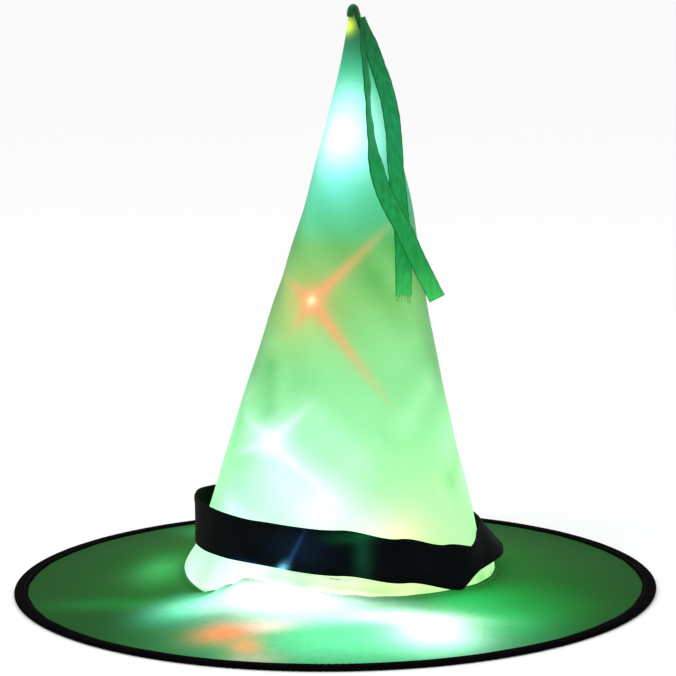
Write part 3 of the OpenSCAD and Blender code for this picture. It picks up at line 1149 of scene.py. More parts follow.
@dataclass(frozen=True)
class Crease:
    """A soft ridge or valley across the crown.

    Args:
        start: (azimuth, height) where it begins.
        end: (azimuth, height) where it ends.
        width: its reach to each side.
        rise: how far it lifts the cloth, less than 0 for a valley.
        heights: heights of the foot and tip of a plain cone.
        radii: that cone's radii there.
    """

    start: tuple[float, float]
    end: tuple[float, float]
    width: float
    rise: float
    heights: tuple[float, float] = (0, 341)
    radii: tuple[float, float] = (89, 3)

    def on(self, azimuth: Array, z: Array, radius: Array) -> Array:
        """Height of the crease: a bell across its line, which fades in the third next to each end.

        Args:
            azimuth: azimuth of each place.
            z: height of each place.
            radius: the crown's radius there.

        Returns:
            How far the cloth moves outwards.
        """
        mid = (self.start[0] + self.end[0]) / 2
        x, y = np.radians(swing(azimuth, mid)) * radius, z
        r = float(np.interp((self.start[1] + self.end[1]) / 2, self.heights, self.radii))
        a = np.array([math.radians(self.start[0] - mid) * r, self.start[1]])
        b = np.array([math.radians(self.end[0] - mid) * r, self.end[1]])
        way = b - a
        t = ((x - a[0]) * way[0] + (y - a[1]) * way[1]) / (way @ way)
        off = np.abs((x - a[0]) * way[1] - (y - a[1]) * way[0]) / np.linalg.norm(way)
        fade = ease(np.clip(t, 0, 1) * 3) * ease((1 - np.clip(t, 0, 1)) * 3) * ((t > 0) & (t < 1))
        return self.rise * bell(off / self.width) * fade


@dataclass(frozen=True)
class SeamLine:
    """How far the crown seam is pushed up or down from its mean height, by azimuth.

    The brim is puckered up at the left front, and the crown's foot sags at the left and the right.

    Args:
        stations: (azimuth, shift) in order of azimuth.
    """

    stations: tuple[tuple[float, float], ...] = (
        (-180, -1), (-160, -2.5), (-150, -3.2), (-141, 0), (-133, 5.8), (-126, 11), (-116, 11),
        (-101, 7.6), (-88, 4.9), (-78, 3), (-65, 1.8), (-46, 0.8), (-27, -1.1), (-5, -3), (30, -2),
        (60, 0), (120, 0.5), (155, -0.5),
    )

    def rise(self, a: Array) -> Array:
        """Shift of the seam in millimetres."""
        return ring_through(self.stations, np.ravel(a)).reshape(np.shape(a))


@dataclass(frozen=True)
class CrownForm:
    """Shape of the crown, the same as in the CAD, with the slump and folds of the cloth on top.

    Args:
        height: height of the tip.
        foot: the cone's radius at the floor.
        tip: radius of the tip.
        seam: mean height of the crown seam.
        offset: sideways place of the foot's middle.
        lean: how far the crown leans sideways.
        lean_foot: height where the lean begins.
        lean_length: height over which it grows.
        hook: how far the tip hooks back.
        hook_foot: height where the hook begins.
        bulge: how far the foot bulges over the seam.
        bulge_top: height where the bulge begins.
        bulge_turn: part of a wave that the bulge takes up, in degrees.
        pleat_count: small pleats round the seam.
        pleat_depth: depth of a pleat.
        pleat_reach: height over which the pleats fade.
        slump: bulge of the cloth at the left front of the foot.
        sag: how far it hangs down there.
        line: shift of the seam.
        line_reach: height over which that shift fades.
        creases: ridges and valleys.
    """

    height: float = 341.5
    foot: float = 89.7
    tip: float = 1.5
    seam: float = 11.5
    offset: float = 3.4
    lean: float = 13.2
    lean_foot: float = 40.0
    lean_length: float = 240.0
    hook: float = 3.5
    hook_foot: float = 280.0
    bulge: float = 5.5
    bulge_top: float = 34.0
    bulge_turn: float = 135.0
    pleat_count: int = 26
    pleat_depth: float = 0.14
    pleat_reach: float = 11.0
    slump: Dent = Dent(208, 22, 14, 9, 1.4)
    sag: Dent = Dent(205, 24, 16, 6, 1.4)
    line: SeamLine = SeamLine()
    line_reach: float = 22.0
    creases: tuple[Crease, ...] = (
        Crease((-152, 152), (-130, 96), 10, -1.3), Crease((-170, 132), (-140, 84), 11, 1.4),
        Crease((-120, 128), (-66, 74), 11, 1.1), Crease((-98, 235), (-60, 170), 9, -0.8),
        Crease((-70, 96), (-20, 140), 11, 1.0), Crease((-40, 60), (5, 92), 11, -1.2),
        Crease((-160, 62), (-110, 40), 9, 1.2), Crease((-60, 210), (-30, 130), 10, 0.8),
        Crease((60, 60), (110, 120), 12, 1.6), Crease((120, 50), (160, 110), 12, -1.5),
        Crease((30, 180), (80, 110), 11, -1.2), Crease((130, 190), (165, 130), 10, 1.2),
        Crease((20, 40), (70, 70), 9, 1.3), Crease((95, 230), (150, 170), 10, -1.0),
    )

    def radius(self, z: Array) -> Array:
        """Radius of the crown: a straight cone, with part of a sine wave added near the foot.

        Args:
            z: heights.

        Returns:
            One radius per height.
        """
        t = np.clip((self.bulge_top - z) / (self.bulge_top - self.seam), 0, 1)
        cone = self.tip + (self.height - z) * (self.foot - self.tip) / self.height
        return cone + self.bulge * np.sin(np.radians(self.bulge_turn) * t * t)

    def axis(self, z: Array) -> Array:
        """Sideways place of the crown's middle: a smooth step for the lean, less a square for the hook."""
        hook = self.hook * np.square(np.maximum(0.0, (z - self.hook_foot) / (self.height - self.hook_foot)))
        return self.offset + self.lean * ease((z - self.lean_foot) / self.lean_length) - hook

    def folds(self, a: Array, z: Array) -> Array:
        """Outward shift of the cloth: slow waves, small pleats over the seam, the slump and the creases.

        The waves and creases fade where the crown is narrow, and all but the slump fade at the seam.

        Args:
            a: azimuths.
            z: heights.

        Returns:
            One shift per place.
        """
        r, up = self.radius(z), z - self.seam
        room = np.clip((r - self.tip - 1) / 26.0, 0, 1)
        waves = 0.8 * np.sin(np.radians(2 * a + 40) + z / 37) + 0.5 * np.sin(np.radians(3 * a - 60) - z / 23)
        waves = waves + 0.25 * np.sin(np.radians(7 * a) + z / 9 + 1.7 * np.sin(z / 31))
        turn = np.radians(self.pleat_count * a) + 2.2 * np.sin(np.radians(3 * a))
        pleats = self.pleat_depth * np.exp(-up / self.pleat_reach) * np.sin(turn)
        creases = sum(crease.on(a, z, r) for crease in self.creases)
        moved = (waves * room + creases * room) * ease(up / 4.0) + pleats * ease(up / 1.5)
        return moved + self.slump.on(a, z)

    def wall(self, a: Array, z: Array, inset: float = 0.0) -> Array:
        """Points on the cloth: the round of the cone with its folds, sag and shifted seam.

        Args:
            a: azimuths.
            z: heights before the sag and the seam's shift.
            inset: how far the points are inside the cloth.

        Returns:
            Points, with x, y and z on the last axis.
        """
        least = 0.05
        r = np.maximum(self.radius(z) + self.folds(a, z) - inset, least)
        push = self.line.rise(a) * bell((z - self.seam) / self.line_reach)
        return polar(r, np.radians(a), z - self.sag.on(a, z) + push, self.axis(z))


@dataclass(frozen=True)
class BrimForm:
    """Shape of the brim cloth: flat in the binding, rising to the seam, with slow waves and puckers.

    Args:
        inner: radius of the hole.
        flat: radius inside which the cloth rises.
        low: height of the flat part.
        rise: how far it rises to the hole.
        thickness: thickness of the cloth.
        offset: sideways place of the hole's middle.
        line: shift of the seam.
        line_foot: radius outside which that shift fades.
        reach_up: how far an upward shift reaches.
        reach_down: how far a downward shift reaches.
        tucks: small local folds.
    """

    inner: float = 87.6
    flat: float = 181.6
    low: float = 1.4
    rise: float = 9.7
    thickness: float = 0.5
    offset: float = 3.4
    line: SeamLine = SeamLine()
    line_foot: float = 91.0
    reach_up: float = 17.0
    reach_down: float = 10.0
    tucks: tuple[Dent, ...] = (
        Dent(-133, 6, 94, 9, 0.5), Dent(-108, 4, 112, 10, -0.5),
        Dent(-121, 3.5, 128, 12, 1.1), Dent(-62, 5, 105, 12, -0.9),
    )

    def at(self, r: Array, a: Array) -> Array:
        """Middle of the cloth: a near-straight rise, with the seam's shift, waves, puckers and tucks.

        Args:
            r: radius, from the crown's middle near the seam and from the hoop's near the edge.
            a: azimuth.

        Returns:
            Points, with x, y and z on the last axis.
        """
        t = np.clip((self.flat - r) / (self.flat - self.inner), 0, 1)
        rad = np.radians(a)
        belly = 4 * t * (1 - t)
        waves = 0.9 * np.sin(3 * rad + 0.6) + 0.6 * np.sin(5 * rad + 2.1) + 0.35 * np.sin(9 * rad + t * 5)
        pucker = 0.18 * np.exp(-(r - self.inner) / 9) * np.sin(31 * rad + 2 * np.sin(3 * rad)) * ease(t * 8)
        tucks = sum(tuck.on(a, r) for tuck in self.tucks)
        shift = self.line.rise(a)
        reach = np.where(shift > 0, self.reach_up, self.reach_down)
        push = shift * bell(np.maximum(r - self.line_foot, 0.0) / reach)
        z = self.low + self.rise * t**1.15 + push + waves * belly * 0.8
        z = z + (pucker + tucks) * ease(t * 8) * ease((1 - t) * 12)
        return polar(r, rad, np.maximum(z, self.low), self.offset * t)


@dataclass
class Brim:
    """The brim cloth and its binding, with stitches on both faces.

    Args:
        edge: radius of the hat.
        cloth_edge: radius of the cloth, inside the binding.
        seam: radius of the crown seam.
        width: width of the folded binding.
        height: thickness of the binding over the hoop.
        lip: half the thickness of the binding at its edges.
        stitch_in: distance of the stitches from the binding's inner edge.
        stitch_rise: share of the binding's half thickness at which they lie.
        rings: rings of points across the cloth.
        columns: points round the cloth.
        pools: patches of light on the cloth, in (x, y).
    """

    form: BrimForm = BrimForm()
    light: Light = Light()
    finish: Finish = LitCloth("brim_cloth", (0.003, 0.028, 0.004), 0.55, 0.4, 0.14, 0.8, 0.006)
    tape: Finish = Woven(
        "binding_tape", (0.0012, 0.0008, 0.0014), (0.004, 0.003, 0.004), 0.75, 0.22, 0.85, 0.006)
    thread: Finish = Woven(
        "black_thread", (0.004, 0.004, 0.005), (0.012, 0.012, 0.012), 0.25, 0.05, 0.6, 0.06)
    stitch: Stitch = Stitch(2.6, 1.0, 0.2)
    edge: float = 190.5
    cloth_edge: float = 184.4
    seam: float = 89.0
    width: float = 8.4
    height: float = 2.8
    lip: float = 0.08
    stitch_in: float = 2.1
    stitch_rise: float = 0.83
    rings: int = 74
    columns: int = 432
    pools: tuple[Pool, ...] = (
        Pool((10, -144), (116, 250, 180), 0.95, (70, 42)),
        Pool((38, -112), (240, 255, 250), 0.9, (34, 9), 4),
        Pool((54, -126), (245, 255, 255), 1.1, (21, 22), 6),
        Pool((54, -146), (190, 255, 230), 0.7, (24, 22)),
        Pool((84, -104), (60, 240, 140), 0.34, (26, 30), 40),
        Pool((76, -76), (20, 190, 90), 0.4, (36, 14), 42),
        Pool((-30, -90), (245, 255, 255), 1.8, (38, 15), -8),
        Pool((-20, -112), (200, 255, 245), 0.6, (40, 14)),
        Pool((-80, -82), (90, 240, 190), 0.9, (26, 18), 40),
        Pool((-84, -124), (40, 140, 70), 0.14, (30, 26), 40),
        Pool((-40, -122), (255, 238, 222), 1.0, (18, 9), 6, 0.9),
        Pool((-60, -130), (252, 146, 92), 1.0, (17, 14), 24, 0.95),
        Pool((-48, -152), (250, 170, 112), 0.85, (9, 14), 10, 0.85),
        Pool((-44, -172), (205, 200, 176), 0.6, (16, 10), 8, 0.6),
        Pool((-126, -64), (0, 150, 70), 0.3, (40, 12), 165),
        Pool((-104, 4), (70, 190, 105), 0.55, (16, 34)),
        Pool((110, -84), (12, 170, 70), 0.42, (30, 40), -30),
        Pool((-70, 108), (60, 230, 130), 0.4, (34, 18), 125),
        Pool((60, 112), (90, 190, 255), 0.3, (30, 16), 60),
        Pool((8, 124), (190, 255, 210), 0.4, (24, 12)),
    )

    def build(self) -> None:
        """Makes the pieces."""
        r = np.linspace(self.cloth_edge, self.form.inner, self.rings)
        a = np.arange(self.columns) * 360.0 / self.columns - 180.0
        grid_r, grid_a = np.meshgrid(r, a, indexing="ij")
        middle = self.form.at(grid_r, grid_a)
        half = grid_normals(middle, True) * self.form.thickness / 2
        light = self.light.on_brim(middle + half, self.pools, self.seam)
        slab(middle + half, middle - half, True, light, 0.7).piece(
            "brim_cloth", self.finish, Body.HAT, "brim_cloth", ["brim_panel"])
        self.binding()

    def binding(self) -> None:
        """The tape over the edge: a flat oval section that goes round, its inner edge a little uneven."""
        s = np.cos(np.linspace(0, np.pi, 22))
        a = np.arange(720) * 0.5 - 180.0
        grid_s, grid_a = np.meshgrid(s, a, indexing="ij")
        rad = np.radians(grid_a)
        uneven = (0.22 * np.sin(17 * rad) + 0.15 * np.sin(41 * rad + 1)) * (grid_s < 0) * -grid_s
        r = self.edge - self.width / 2 + grid_s * self.width / 2 - uneven
        mid = self.height / 2
        half = self.lip + (mid - self.lip) * (1 - np.abs(grid_s) ** 3.2) ** (1 / 2.2)
        swell = 1 + 0.05 * np.sin(29 * rad) * (1 - grid_s**2)
        slab(polar(r, rad, mid + half * swell), polar(r, rad, mid - half), True).piece(
            "brim_binding_tape", self.tape, Body.HAT, "black_tape", ["brim_binding"])
        line = self.edge - self.width + self.stitch_in + 0.12 * np.sin(np.radians(13 * a))
        rows = [
            self.stitch.row(polar(line, rad[0], mid + side * mid * self.stitch_rise), (0.0, 0.0, side), True)
            for side in (1.0, -1.0)
        ]
        Mesh.joined(rows).piece("binding_stitches", self.thread, Body.HAT, "black_tape")


@dataclass
class Crown:
    """The cone of thin cloth, its back seam inside and the stitching round its foot.

    Args:
        thickness: thickness of the cloth.
        rows: rings of points up the crown.
        columns: points round it.
        drawn: rings at the tip whose inside is drawn to their middle.
        dome: height of the small dome on the tip.
        seam_ends: heights of the ends of the back seam.
        seam_half: half the width of the seam allowance.
        seam_insets: how far its two faces are inside the cloth.
        seam_rows: place of its stitches, as shares of its half width.
        foot_gap: distance of the topstitching from the seam.
    """

    form: CrownForm = CrownForm()
    brim: BrimForm = BrimForm()
    light: Light = Light()
    finish: Finish = LitCloth("crown_nylon", (0.008, 0.03, 0.012), 0.5, 0.14, 0.12, 0.5, 0.04)
    seam_finish: Finish = LitCloth("seam_nylon", (0.02, 0.06, 0.03), 0.5, 0.2, 0.14, 0.6, 0.1)
    thread: Finish = Woven("mint_thread", (0.2, 0.55, 0.28), (0.3, 0.62, 0.36), 0.25, 0.05, 0.6, 0.1)
    seam_stitch: Stitch = Stitch(2.2, 0.9, 0.16)
    foot_stitch: Stitch = Stitch(2.4, 1.0, 0.12)
    thickness: float = 0.45
    rows: int = 180
    columns: int = 240
    drawn: int = 6
    dome: float = 1.2
    seam_ends: tuple[float, float] = (21, 322)
    seam_half: float = 3.5
    seam_insets: tuple[float, float] = (0.75, 1.25)
    seam_rows: tuple[float, float] = (-0.55, 0.55)
    foot_gap: float = 2.2

    def build(self) -> None:
        """Makes the pieces. The rings of points lie closer together towards the foot."""
        a = np.arange(self.columns) * 360.0 / self.columns - 180.0
        grid_a, share = np.meshgrid(a, np.linspace(0, 1, self.rows) ** 1.25)
        grid_z = self.form.seam + (self.form.height - self.form.seam) * share
        outer = self.form.wall(grid_a, grid_z)
        inner = outer - grid_normals(outer, True) * self.thickness
        tip = outer[-self.drawn :]
        inner[-self.drawn :] = tip * 0.35 + tip.mean(1, keepdims=True) * 0.65 - [0, 0, 0.3]
        shade = self.shade(self.form.folds(grid_a, grid_z))
        shell = slab(outer, inner, True, self.light.on_crown(outer, shade), 0.8)
        Mesh.joined([shell, self.cap(outer[-1])]).piece(
            "crown_cloth", self.finish, Body.HAT, "crown_nylon", ["crown_panel"])
        self.seam()
        self.foot()

    @staticmethod
    def shade(folds: Array) -> Array:
        """How the folds light the cloth: ridges and high places lighter, valleys and low ones darker.

        Args:
            folds: outward shift of the cloth on the grid.

        Returns:
            A factor about 1 for each point.
        """
        curve = sum(np.gradient(np.gradient(folds, axis=k), axis=k) for k in (0, 1))
        ridge, lift = np.clip(-curve * 3.0, -0.5, 0.5), np.clip(folds, -3, 3)
        return np.clip(1.0 + 0.55 * ridge + 0.035 * lift, 0.5, 1.4)

    def cap(self, ring: Array) -> Mesh:
        """A small dome that closes the tip.

        Args:
            ring: the crown's last ring of points.

        Returns:
            The closed mesh.
        """
        mid = ring.mean(0)
        lift = np.linspace(0, 1, 5)[:, None, None]
        spread = (ring - mid) * np.sqrt(1 - (lift * 0.98) ** 2)
        rise = np.array([0, 0, self.dome]) * lift
        outer, inner = mid + spread + rise, mid + spread * 0.6 + rise - [0, 0, 0.5]
        # The dome has a dim, dark-green painted glow.
        return slab(outer, inner, True, np.broadcast_to(np.array(linear(18, 60, 36)), outer.shape))

    def seam(self) -> None:
        """The felled seam allowance up the inside of the back, with its rows of stitches on both faces."""
        z = np.linspace(*self.seam_ends, 130)
        half = np.minimum(self.seam_half, (self.form.radius(z) - 0.5) * 0.28)
        grid_z, s = np.meshgrid(z, np.linspace(-1, 1, 9), indexing="ij")
        a = 90.0 + np.degrees(s * half[:, None] / self.form.radius(grid_z))
        ripple = 0.12 * np.sin(grid_z / 3.1) * np.abs(s)
        outer, inner = (self.form.wall(a, grid_z, inset) for inset in self.seam_insets)
        inner = inner + np.array([0, -1.0, 0]) * ripple[..., None]
        # The seam allowance takes the crown's painted glow, darkened by a fixed painted shade of 0.55.
        light = self.light.on_crown(outer, np.full(grid_z.shape, 0.55))
        slab(outer, inner, False, light).piece(
            "crown_back_seam", self.seam_finish, Body.HAT, "crown_nylon", ["crown_seam"])
        rows = []
        for side in self.seam_rows:
            edge = 90.0 + np.degrees(side * half / self.form.radius(z))
            for inset, outward in ((1.3, (0.0, -1.0, -0.25)), (0.0, (0.0, 1.0, 0.25))):
                rows.append(self.seam_stitch.row(self.form.wall(edge, z, inset), outward, False))
        Mesh.joined(rows).piece("crown_back_stitches", self.thread, Body.HAT, "crown_nylon")

    def foot(self) -> None:
        """Topstitching round the brim just outside the crown seam."""
        a = np.linspace(-180, 180, 480, endpoint=False)
        r = float(self.form.radius(np.array(self.form.seam))) + self.foot_gap
        path = self.brim.at(np.full(a.shape, r), a) + [0, 0, self.brim.thickness / 2]
        self.foot_stitch.row(path, (0.0, 0.0, 1.0), True).piece(
            "seam_stitches", self.thread, Body.HAT, "crown_nylon")


@dataclass
class Band:
    """The loose band: doubled cloth, slipped down on the right, with a pressed crease at the right front.

    Args:
        centre: sideways place of its middle.
        off: how far the cloth's middle lies outside the stations.
        lap_off: the same for the lapped end.
        lap_ends: azimuths of the ends of the lap.
        lap_rows: azimuths of its stitches.
        hem_rows: place of the hem stitches, as shares of the height.
        rows: rows of points up the band.
        crease_foot: azimuth of the crease at the lower edge.
        crease_slant: how far its azimuth moves up to the upper edge.
        stations: (azimuth, lower radius, lower height, upper radius, upper height) of the two edges.
        glints: patches of light that show on the band, in (x, z).
    """

    finish: Finish = Woven(
        "band_cloth", (0.0008, 0.0016, 0.002), (0.003, 0.004, 0.005), 0.5, 0.14, 0.7, 0.025, True)
    thread: Finish = Woven(
        "band_thread", (0.004, 0.005, 0.007), (0.012, 0.012, 0.016), 0.25, 0.05, 0.6, 0.06)
    hem_stitch: Stitch = Stitch(2.3, 0.9, 0.16)
    lap_stitch: Stitch = Stitch(2.2, 0.8, 0.16)
    centre: float = 3.4
    off: float = 0.9
    lap_off: float = 2.15
    lap_ends: tuple[float, float] = (83.5, 96.5)
    lap_rows: tuple[float, float] = (84.6, 95.4)
    hem_rows: tuple[float, float] = (0.15, 0.85)
    rows: int = 30
    crease_foot: float = -43.0
    crease_slant: float = 12.0
    stations: tuple[tuple[float, ...], ...] = (
        (-180, 85.2, 28.8, 85.2, 56.2), (-155, 86.6, 30.0, 83.4, 55.6), (-125, 88.4, 30.6, 80.6, 53.6),
        (-90, 88.6, 26.6, 80.2, 51.0), (-66, 90.0, 20.6, 81.4, 44.4), (-44, 91.4, 13.8, 83.6, 37.5),
        (-28, 92.4, 19.0, 84.6, 34.4), (-9, 96.2, 21.4, 82.4, 37.0), (40, 94.4, 20.4, 81.4, 40.4),
        (90, 90.4, 22.6, 80.4, 46.6), (140, 87.4, 26.4, 82.8, 52.2),
    )
    glints: tuple[Pool, ...] = (
        Pool((-31, 27.5), (120, 220, 255), 2.2, (4.6, 2.2), 52),
        Pool((-40, 28), (24, 100, 180), 0.6, (11, 2), -10),
        Pool((-24, 37), (36, 90, 150), 0.5, (13, 1.2), 62),
        Pool((-20, 40), (14, 40, 66), 0.5, (16, 10)),
        Pool((16, 38), (10, 88, 54), 0.55, (5, 15)),
        Pool((10, 47), (16, 110, 60), 0.4, (14, 3)),
    )

    def at(self, a: Array, v: Array, off: float) -> Array:
        """Points on the band: straight from the lower to the upper edge, with ripples and the crease.

        The crease stands out by a pointed ridge with a hollow beside it, and hangs lower.

        Args:
            a: azimuths.
            v: 0 at the lower edge, 1 at the upper edge.
            off: how far the points lie outside the stations.

        Returns:
            Points, with x, y and z on the last axis.
        """
        stations = ring_through(self.stations, a.ravel()).reshape(*a.shape, 4)
        low_r, low_z, high_r, high_z = np.moveaxis(stations, -1, 0)
        past = swing(a, 0) - (self.crease_foot + self.crease_slant * v)
        crease = 3.4 * np.exp(-np.abs(past) / 7.0) - 1.6 * bell((past - 16) / 9)
        drop = 2.0 * np.exp(-np.abs(past) / 9.0)
        ripple = 0.12 * np.sin(np.radians(11 * a) + 2 * v) + 0.12 * np.sin(np.radians(23 * a) - 3 * v)
        ripple = ripple + 0.8 * np.sin(np.pi * v) * bell(swing(a, -75) / 20)
        r = low_r * (1 - v) + high_r * v + crease * 0.8 + ripple + off
        return polar(r, np.radians(a), low_z * (1 - v) + high_z * v - drop, self.centre)

    def build(self) -> None:
        """Makes the pieces. The half thickness swells in each hem and dips beyond its stitches."""
        a = np.arange(480) * 0.75 - 180.0
        grid_v, grid_a = np.meshgrid(np.linspace(0, 1, self.rows), a, indexing="ij")
        inward = np.minimum(grid_v, 1 - grid_v)
        hem = 0.35 + 0.3 * bell((inward - 0.07) / 0.06) - 0.2 * bell((inward - 0.17) / 0.03)
        hem[[0, -1]] = 0.16
        middle = self.at(grid_a, grid_v, self.off)
        normal = grid_normals(middle, True)
        outer, inner = middle + normal * hem[..., None], middle - normal * hem[..., None]
        glow = np.zeros(outer.shape)
        for glint in self.glints:
            glow = glint.lay(glow, outer[..., [0, 2]])
        glow = glow * ease(-outer[..., 1:2] / 20)
        slab(outer, inner, True, glow).piece("band_cloth", self.finish, Body.BAND, "band_cloth", ["hat_band"])
        rows = []
        for share in self.hem_rows:
            rise = normal[int(share * (self.rows - 1))]
            path = self.at(a, np.full(a.shape, share), self.off) + rise * 0.4
            rows.append(self.hem_stitch.row(path, rise, True))
        Mesh.joined(rows).piece("band_stitches", self.thread, Body.BAND, "band_cloth")
        self.join()

    def join(self) -> None:
        """The lapped end of the band at the back, with two rows of stitches across it."""
        v = np.linspace(0.01, 0.99, 24)
        grid_v, grid_a = np.meshgrid(v, np.linspace(*self.lap_ends, 26), indexing="ij")
        middle = self.at(grid_a, grid_v, self.lap_off)
        half = grid_normals(middle, False) * 0.3
        slab(middle + half, middle - half, False, np.zeros(middle.shape)).piece(
            "band_lap", self.finish, Body.BAND, "band_cloth", ["band_join"])
        rows = []
        for edge in self.lap_rows:
            path = self.at(np.full(v.shape, edge), v, self.lap_off + 0.35)
            rows.append(self.lap_stitch.row(path, (0.0, 1.0, 0.3), False))
        Mesh.joined(rows).piece("band_lap_stitches", self.thread, Body.BAND, "band_cloth")


@dataclass
class Ribbon:
    """One satin ribbon tacked over the tip, with two tails.

    Args:
        width: width of the ribbon.
        thick: its thickness.
        frays: radius of a loose thread.
        tacks: threads in the tack.
        tint: (height, display colour) that the lit cloth gives the ribbon.
        front: (x, y, z, turn) along the tail that hangs in front; turn is the azimuth of its width.
        side: the same for the other tail.
        turn: (x, y, z, cup) over the tip; cup is the radius that the ribbon bends round.
    """

    finish: Finish = Satin("green_satin")
    thread: Finish = Woven("ribbon_thread", (0.01, 0.06, 0.02), (0.02, 0.1, 0.04), 0.25, 0.05, 0.5, 0.3)
    width: float = 10.0
    thick: float = 0.3
    frays: float = 0.07
    tacks: int = 5
    tint: tuple[tuple[float, Colour], ...] = (
        (172, (80, 230, 105)), (195, (30, 160, 66)), (235, (16, 145, 66)), (270, (10, 140, 84)),
        (300, (8, 120, 66)), (330, (2, 50, 24)), (345, (0, 8, 4)),
    )
    front: tuple[tuple[float, ...], ...] = (
        (17.7, -6.4, 336.0, 80), (18.8, -9, 326, 75), (20, -14, 312, 70), (21.2, -18, 300, 70),
        (21.7, -21, 287, 72), (22.7, -24, 275, 70), (23.7, -25, 265, 60), (25, -26, 256, 45),
        (28, -26.8, 243, 25), (32, -28, 233, 18), (37, -29.5, 223, 15), (41.5, -30.5, 215, 12),
        (46, -31, 205, 12), (51.5, -30.5, 193, 15), (60.5, -28, 175, 18),
    )
    side: tuple[tuple[float, ...], ...] = (
        (18.4, -4.6, 336.0, 35), (21.6, -5.8, 327, 28), (26.2, -8.5, 312, 24), (30.5, -11.5, 299, 20),
        (33.5, -13.5, 288, 20), (35.5, -15, 276, 20), (36.5, -17, 265, 20), (37, -19, 253, 20),
        (38, -21, 242, 20), (39.5, -24, 227, 20), (40.5, -26.5, 215, 20), (41, -30, 200, 20),
        (41, -36, 178, 20),
    )
    turn: tuple[tuple[float, ...], ...] = (
        (10.1, 0, 336.2, 3.3), (10.2, 0, 339.2, 3.4), (11.2, 0, 341.9, 3.3), (12.9, 0, 343.2, 3.2),
        (14.8, 0, 343.0, 3.2), (16.3, 0, 341.4, 3.3), (17.1, 0, 338.8, 3.5), (17.8, 0, 335.8, 3.7),
        (18.5, 0, 332.6, 4.4), (19.2, 0, 329.8, 5.0),
    )

    def build(self) -> None:
        """Makes the pieces."""
        self.tail("ribbon_front_tail", self.front, "ribbon_tail_front", slant=0.4, ragged=0.0)
        self.tail("ribbon_side_tail", self.side, "ribbon_tail_side", slant=0.0, ragged=1.0)
        self.fold()
        self.tack()

    def light(self, points: Array) -> Array:
        """Emitted colour on the ribbon, by height."""
        return tint_at(self.tint, points[..., 2]) * 0.75

    def tail(
        self, name: str, route: Sequence[Sequence[float]], node: str, slant: float, ragged: float
    ) -> None:
        """One tail: a strip along its route, cupped and rippled, gathered at its top and cut at its end.

        Args:
            name: the piece's name.
            route: points (x, y, z, turn) that the middle follows.
            node: the CAD node that it stands for.
            slant: how far one corner of the end is cut past the other.
            ragged: how frayed the end is, from 0 to 1.
        """
        path = through(route, 200)
        line, turn = path[:, :3], np.radians(path[:, 3])
        way = unit(np.gradient(line, axis=0))
        across = np.stack([np.cos(turn), np.sin(turn), np.zeros_like(turn)], -1)
        across = unit(across - way * np.sum(across * way, -1, keepdims=True))
        face = np.cross(across, way)
        s = np.linspace(-1, 1, 22)
        share = np.linspace(0, 1, len(line))[:, None]
        rng = np.random.default_rng(SEED)
        teeth = rng.uniform(-1, 1, len(s)) * 1.1 * ragged
        end = (slant * s + teeth) * ease((share - 0.97) / 0.03)
        cup = 0.45 * (s**2 - 0.4) + 0.25 * np.sin(share * 47) * s + 0.12 * np.sin(share * 90 + 3 * s)
        gathered = 0.5 + 0.5 * ease(share / 0.16)
        edge = (s + 0.012 * np.sin(share * 160) * np.sign(s) * (np.abs(s) > 0.9)) * gathered
        middle = line[:, None] + across[:, None] * (edge[..., None] * self.width / 2)
        middle = middle + face[:, None] * cup[..., None] + way[:, None] * end[..., None]
        swell = (self.thick / 2 * (1 + 0.25 * (np.abs(s) > 0.88)))[None, :, None]
        half = grid_normals(middle, False) * swell
        obj = slab(middle + half, middle - half, False, self.light(middle), 0.8).piece(
            name, self.finish, Body.RIBBON, "green_satin", [node])
        if ragged:
            self.fray(name, middle[-1], way[-1], face[-1], rng)

    def fray(self, name: str, edge: Array, way: Array, face: Array, rng: np.random.Generator) -> None:
        """Loose warp threads that hang from a cut end, each with its own length, lean and curl.

        Args:
            name: the tail's name.
            edge: points along the cut.
            way: the direction that the tail hangs in.
            face: the direction that it faces.
            rng: where the chances come from.
        """
        threads = []
        for start in edge[1:-1]:
            length = rng.uniform(1.0, 5.5)
            lean = rng.normal(0, 0.16, 3)
            t = np.linspace(0, 1, 7)[:, None]
            curl = face * np.sin(t * rng.uniform(2, 4)) * 0.5 * rng.choice([-1, 1])
            threads.append(tube(start - way * 1.0 + (way + lean) * length * t + curl * t, self.frays))
        Mesh.joined(threads).piece(name + "_fray", self.thread, Body.RIBBON, "green_satin")

    def fold(self) -> None:
        """The ribbon's turn over the tip: its width bends round the cup's radius, with small pleats."""
        path = through(self.turn, 64)
        line = path[:, :3]
        across = np.array([0.0, 1.0, 0.0])
        face = unit(np.cross(unit(np.gradient(line, axis=0)), across))
        s = np.linspace(-1, 1, 20)
        cup = path[:, 3][:, None, None]
        bend = s[None, :, None] * self.width / 2 / cup
        pleat = 0.22 * np.sin(s * 9)[None, :, None] - cup * (1 - np.cos(bend))
        middle = line[:, None] + across * cup * np.sin(bend) + face[:, None] * pleat
        half = grid_normals(middle, False) * 0.16
        slab(middle + half, middle - half, False, self.light(middle), 0.8).piece(
            "ribbon_turn", self.finish, Body.HAT, "green_satin", ["ribbon_fold"])

    def tack(self) -> None:
        """Threads that go round the front of the tip, each above the last and a little smaller."""
        a = np.linspace(-150, -30, 14)
        rad = np.radians(a)
        threads = []
        for k in range(self.tacks):
            r = 3.3 - 0.25 * k
            z = 338.2 + 0.9 * k + 0.3 * np.sin(np.radians(3 * a))
            path = np.stack([13.3 + r * 1.25 * np.cos(rad), r * 1.35 * np.sin(rad) - 0.5, z], -1)
            threads.append(tube(path, 0.17))
        Mesh.joined(threads).piece("ribbon_tack", self.thread, Body.HAT, "green_satin")


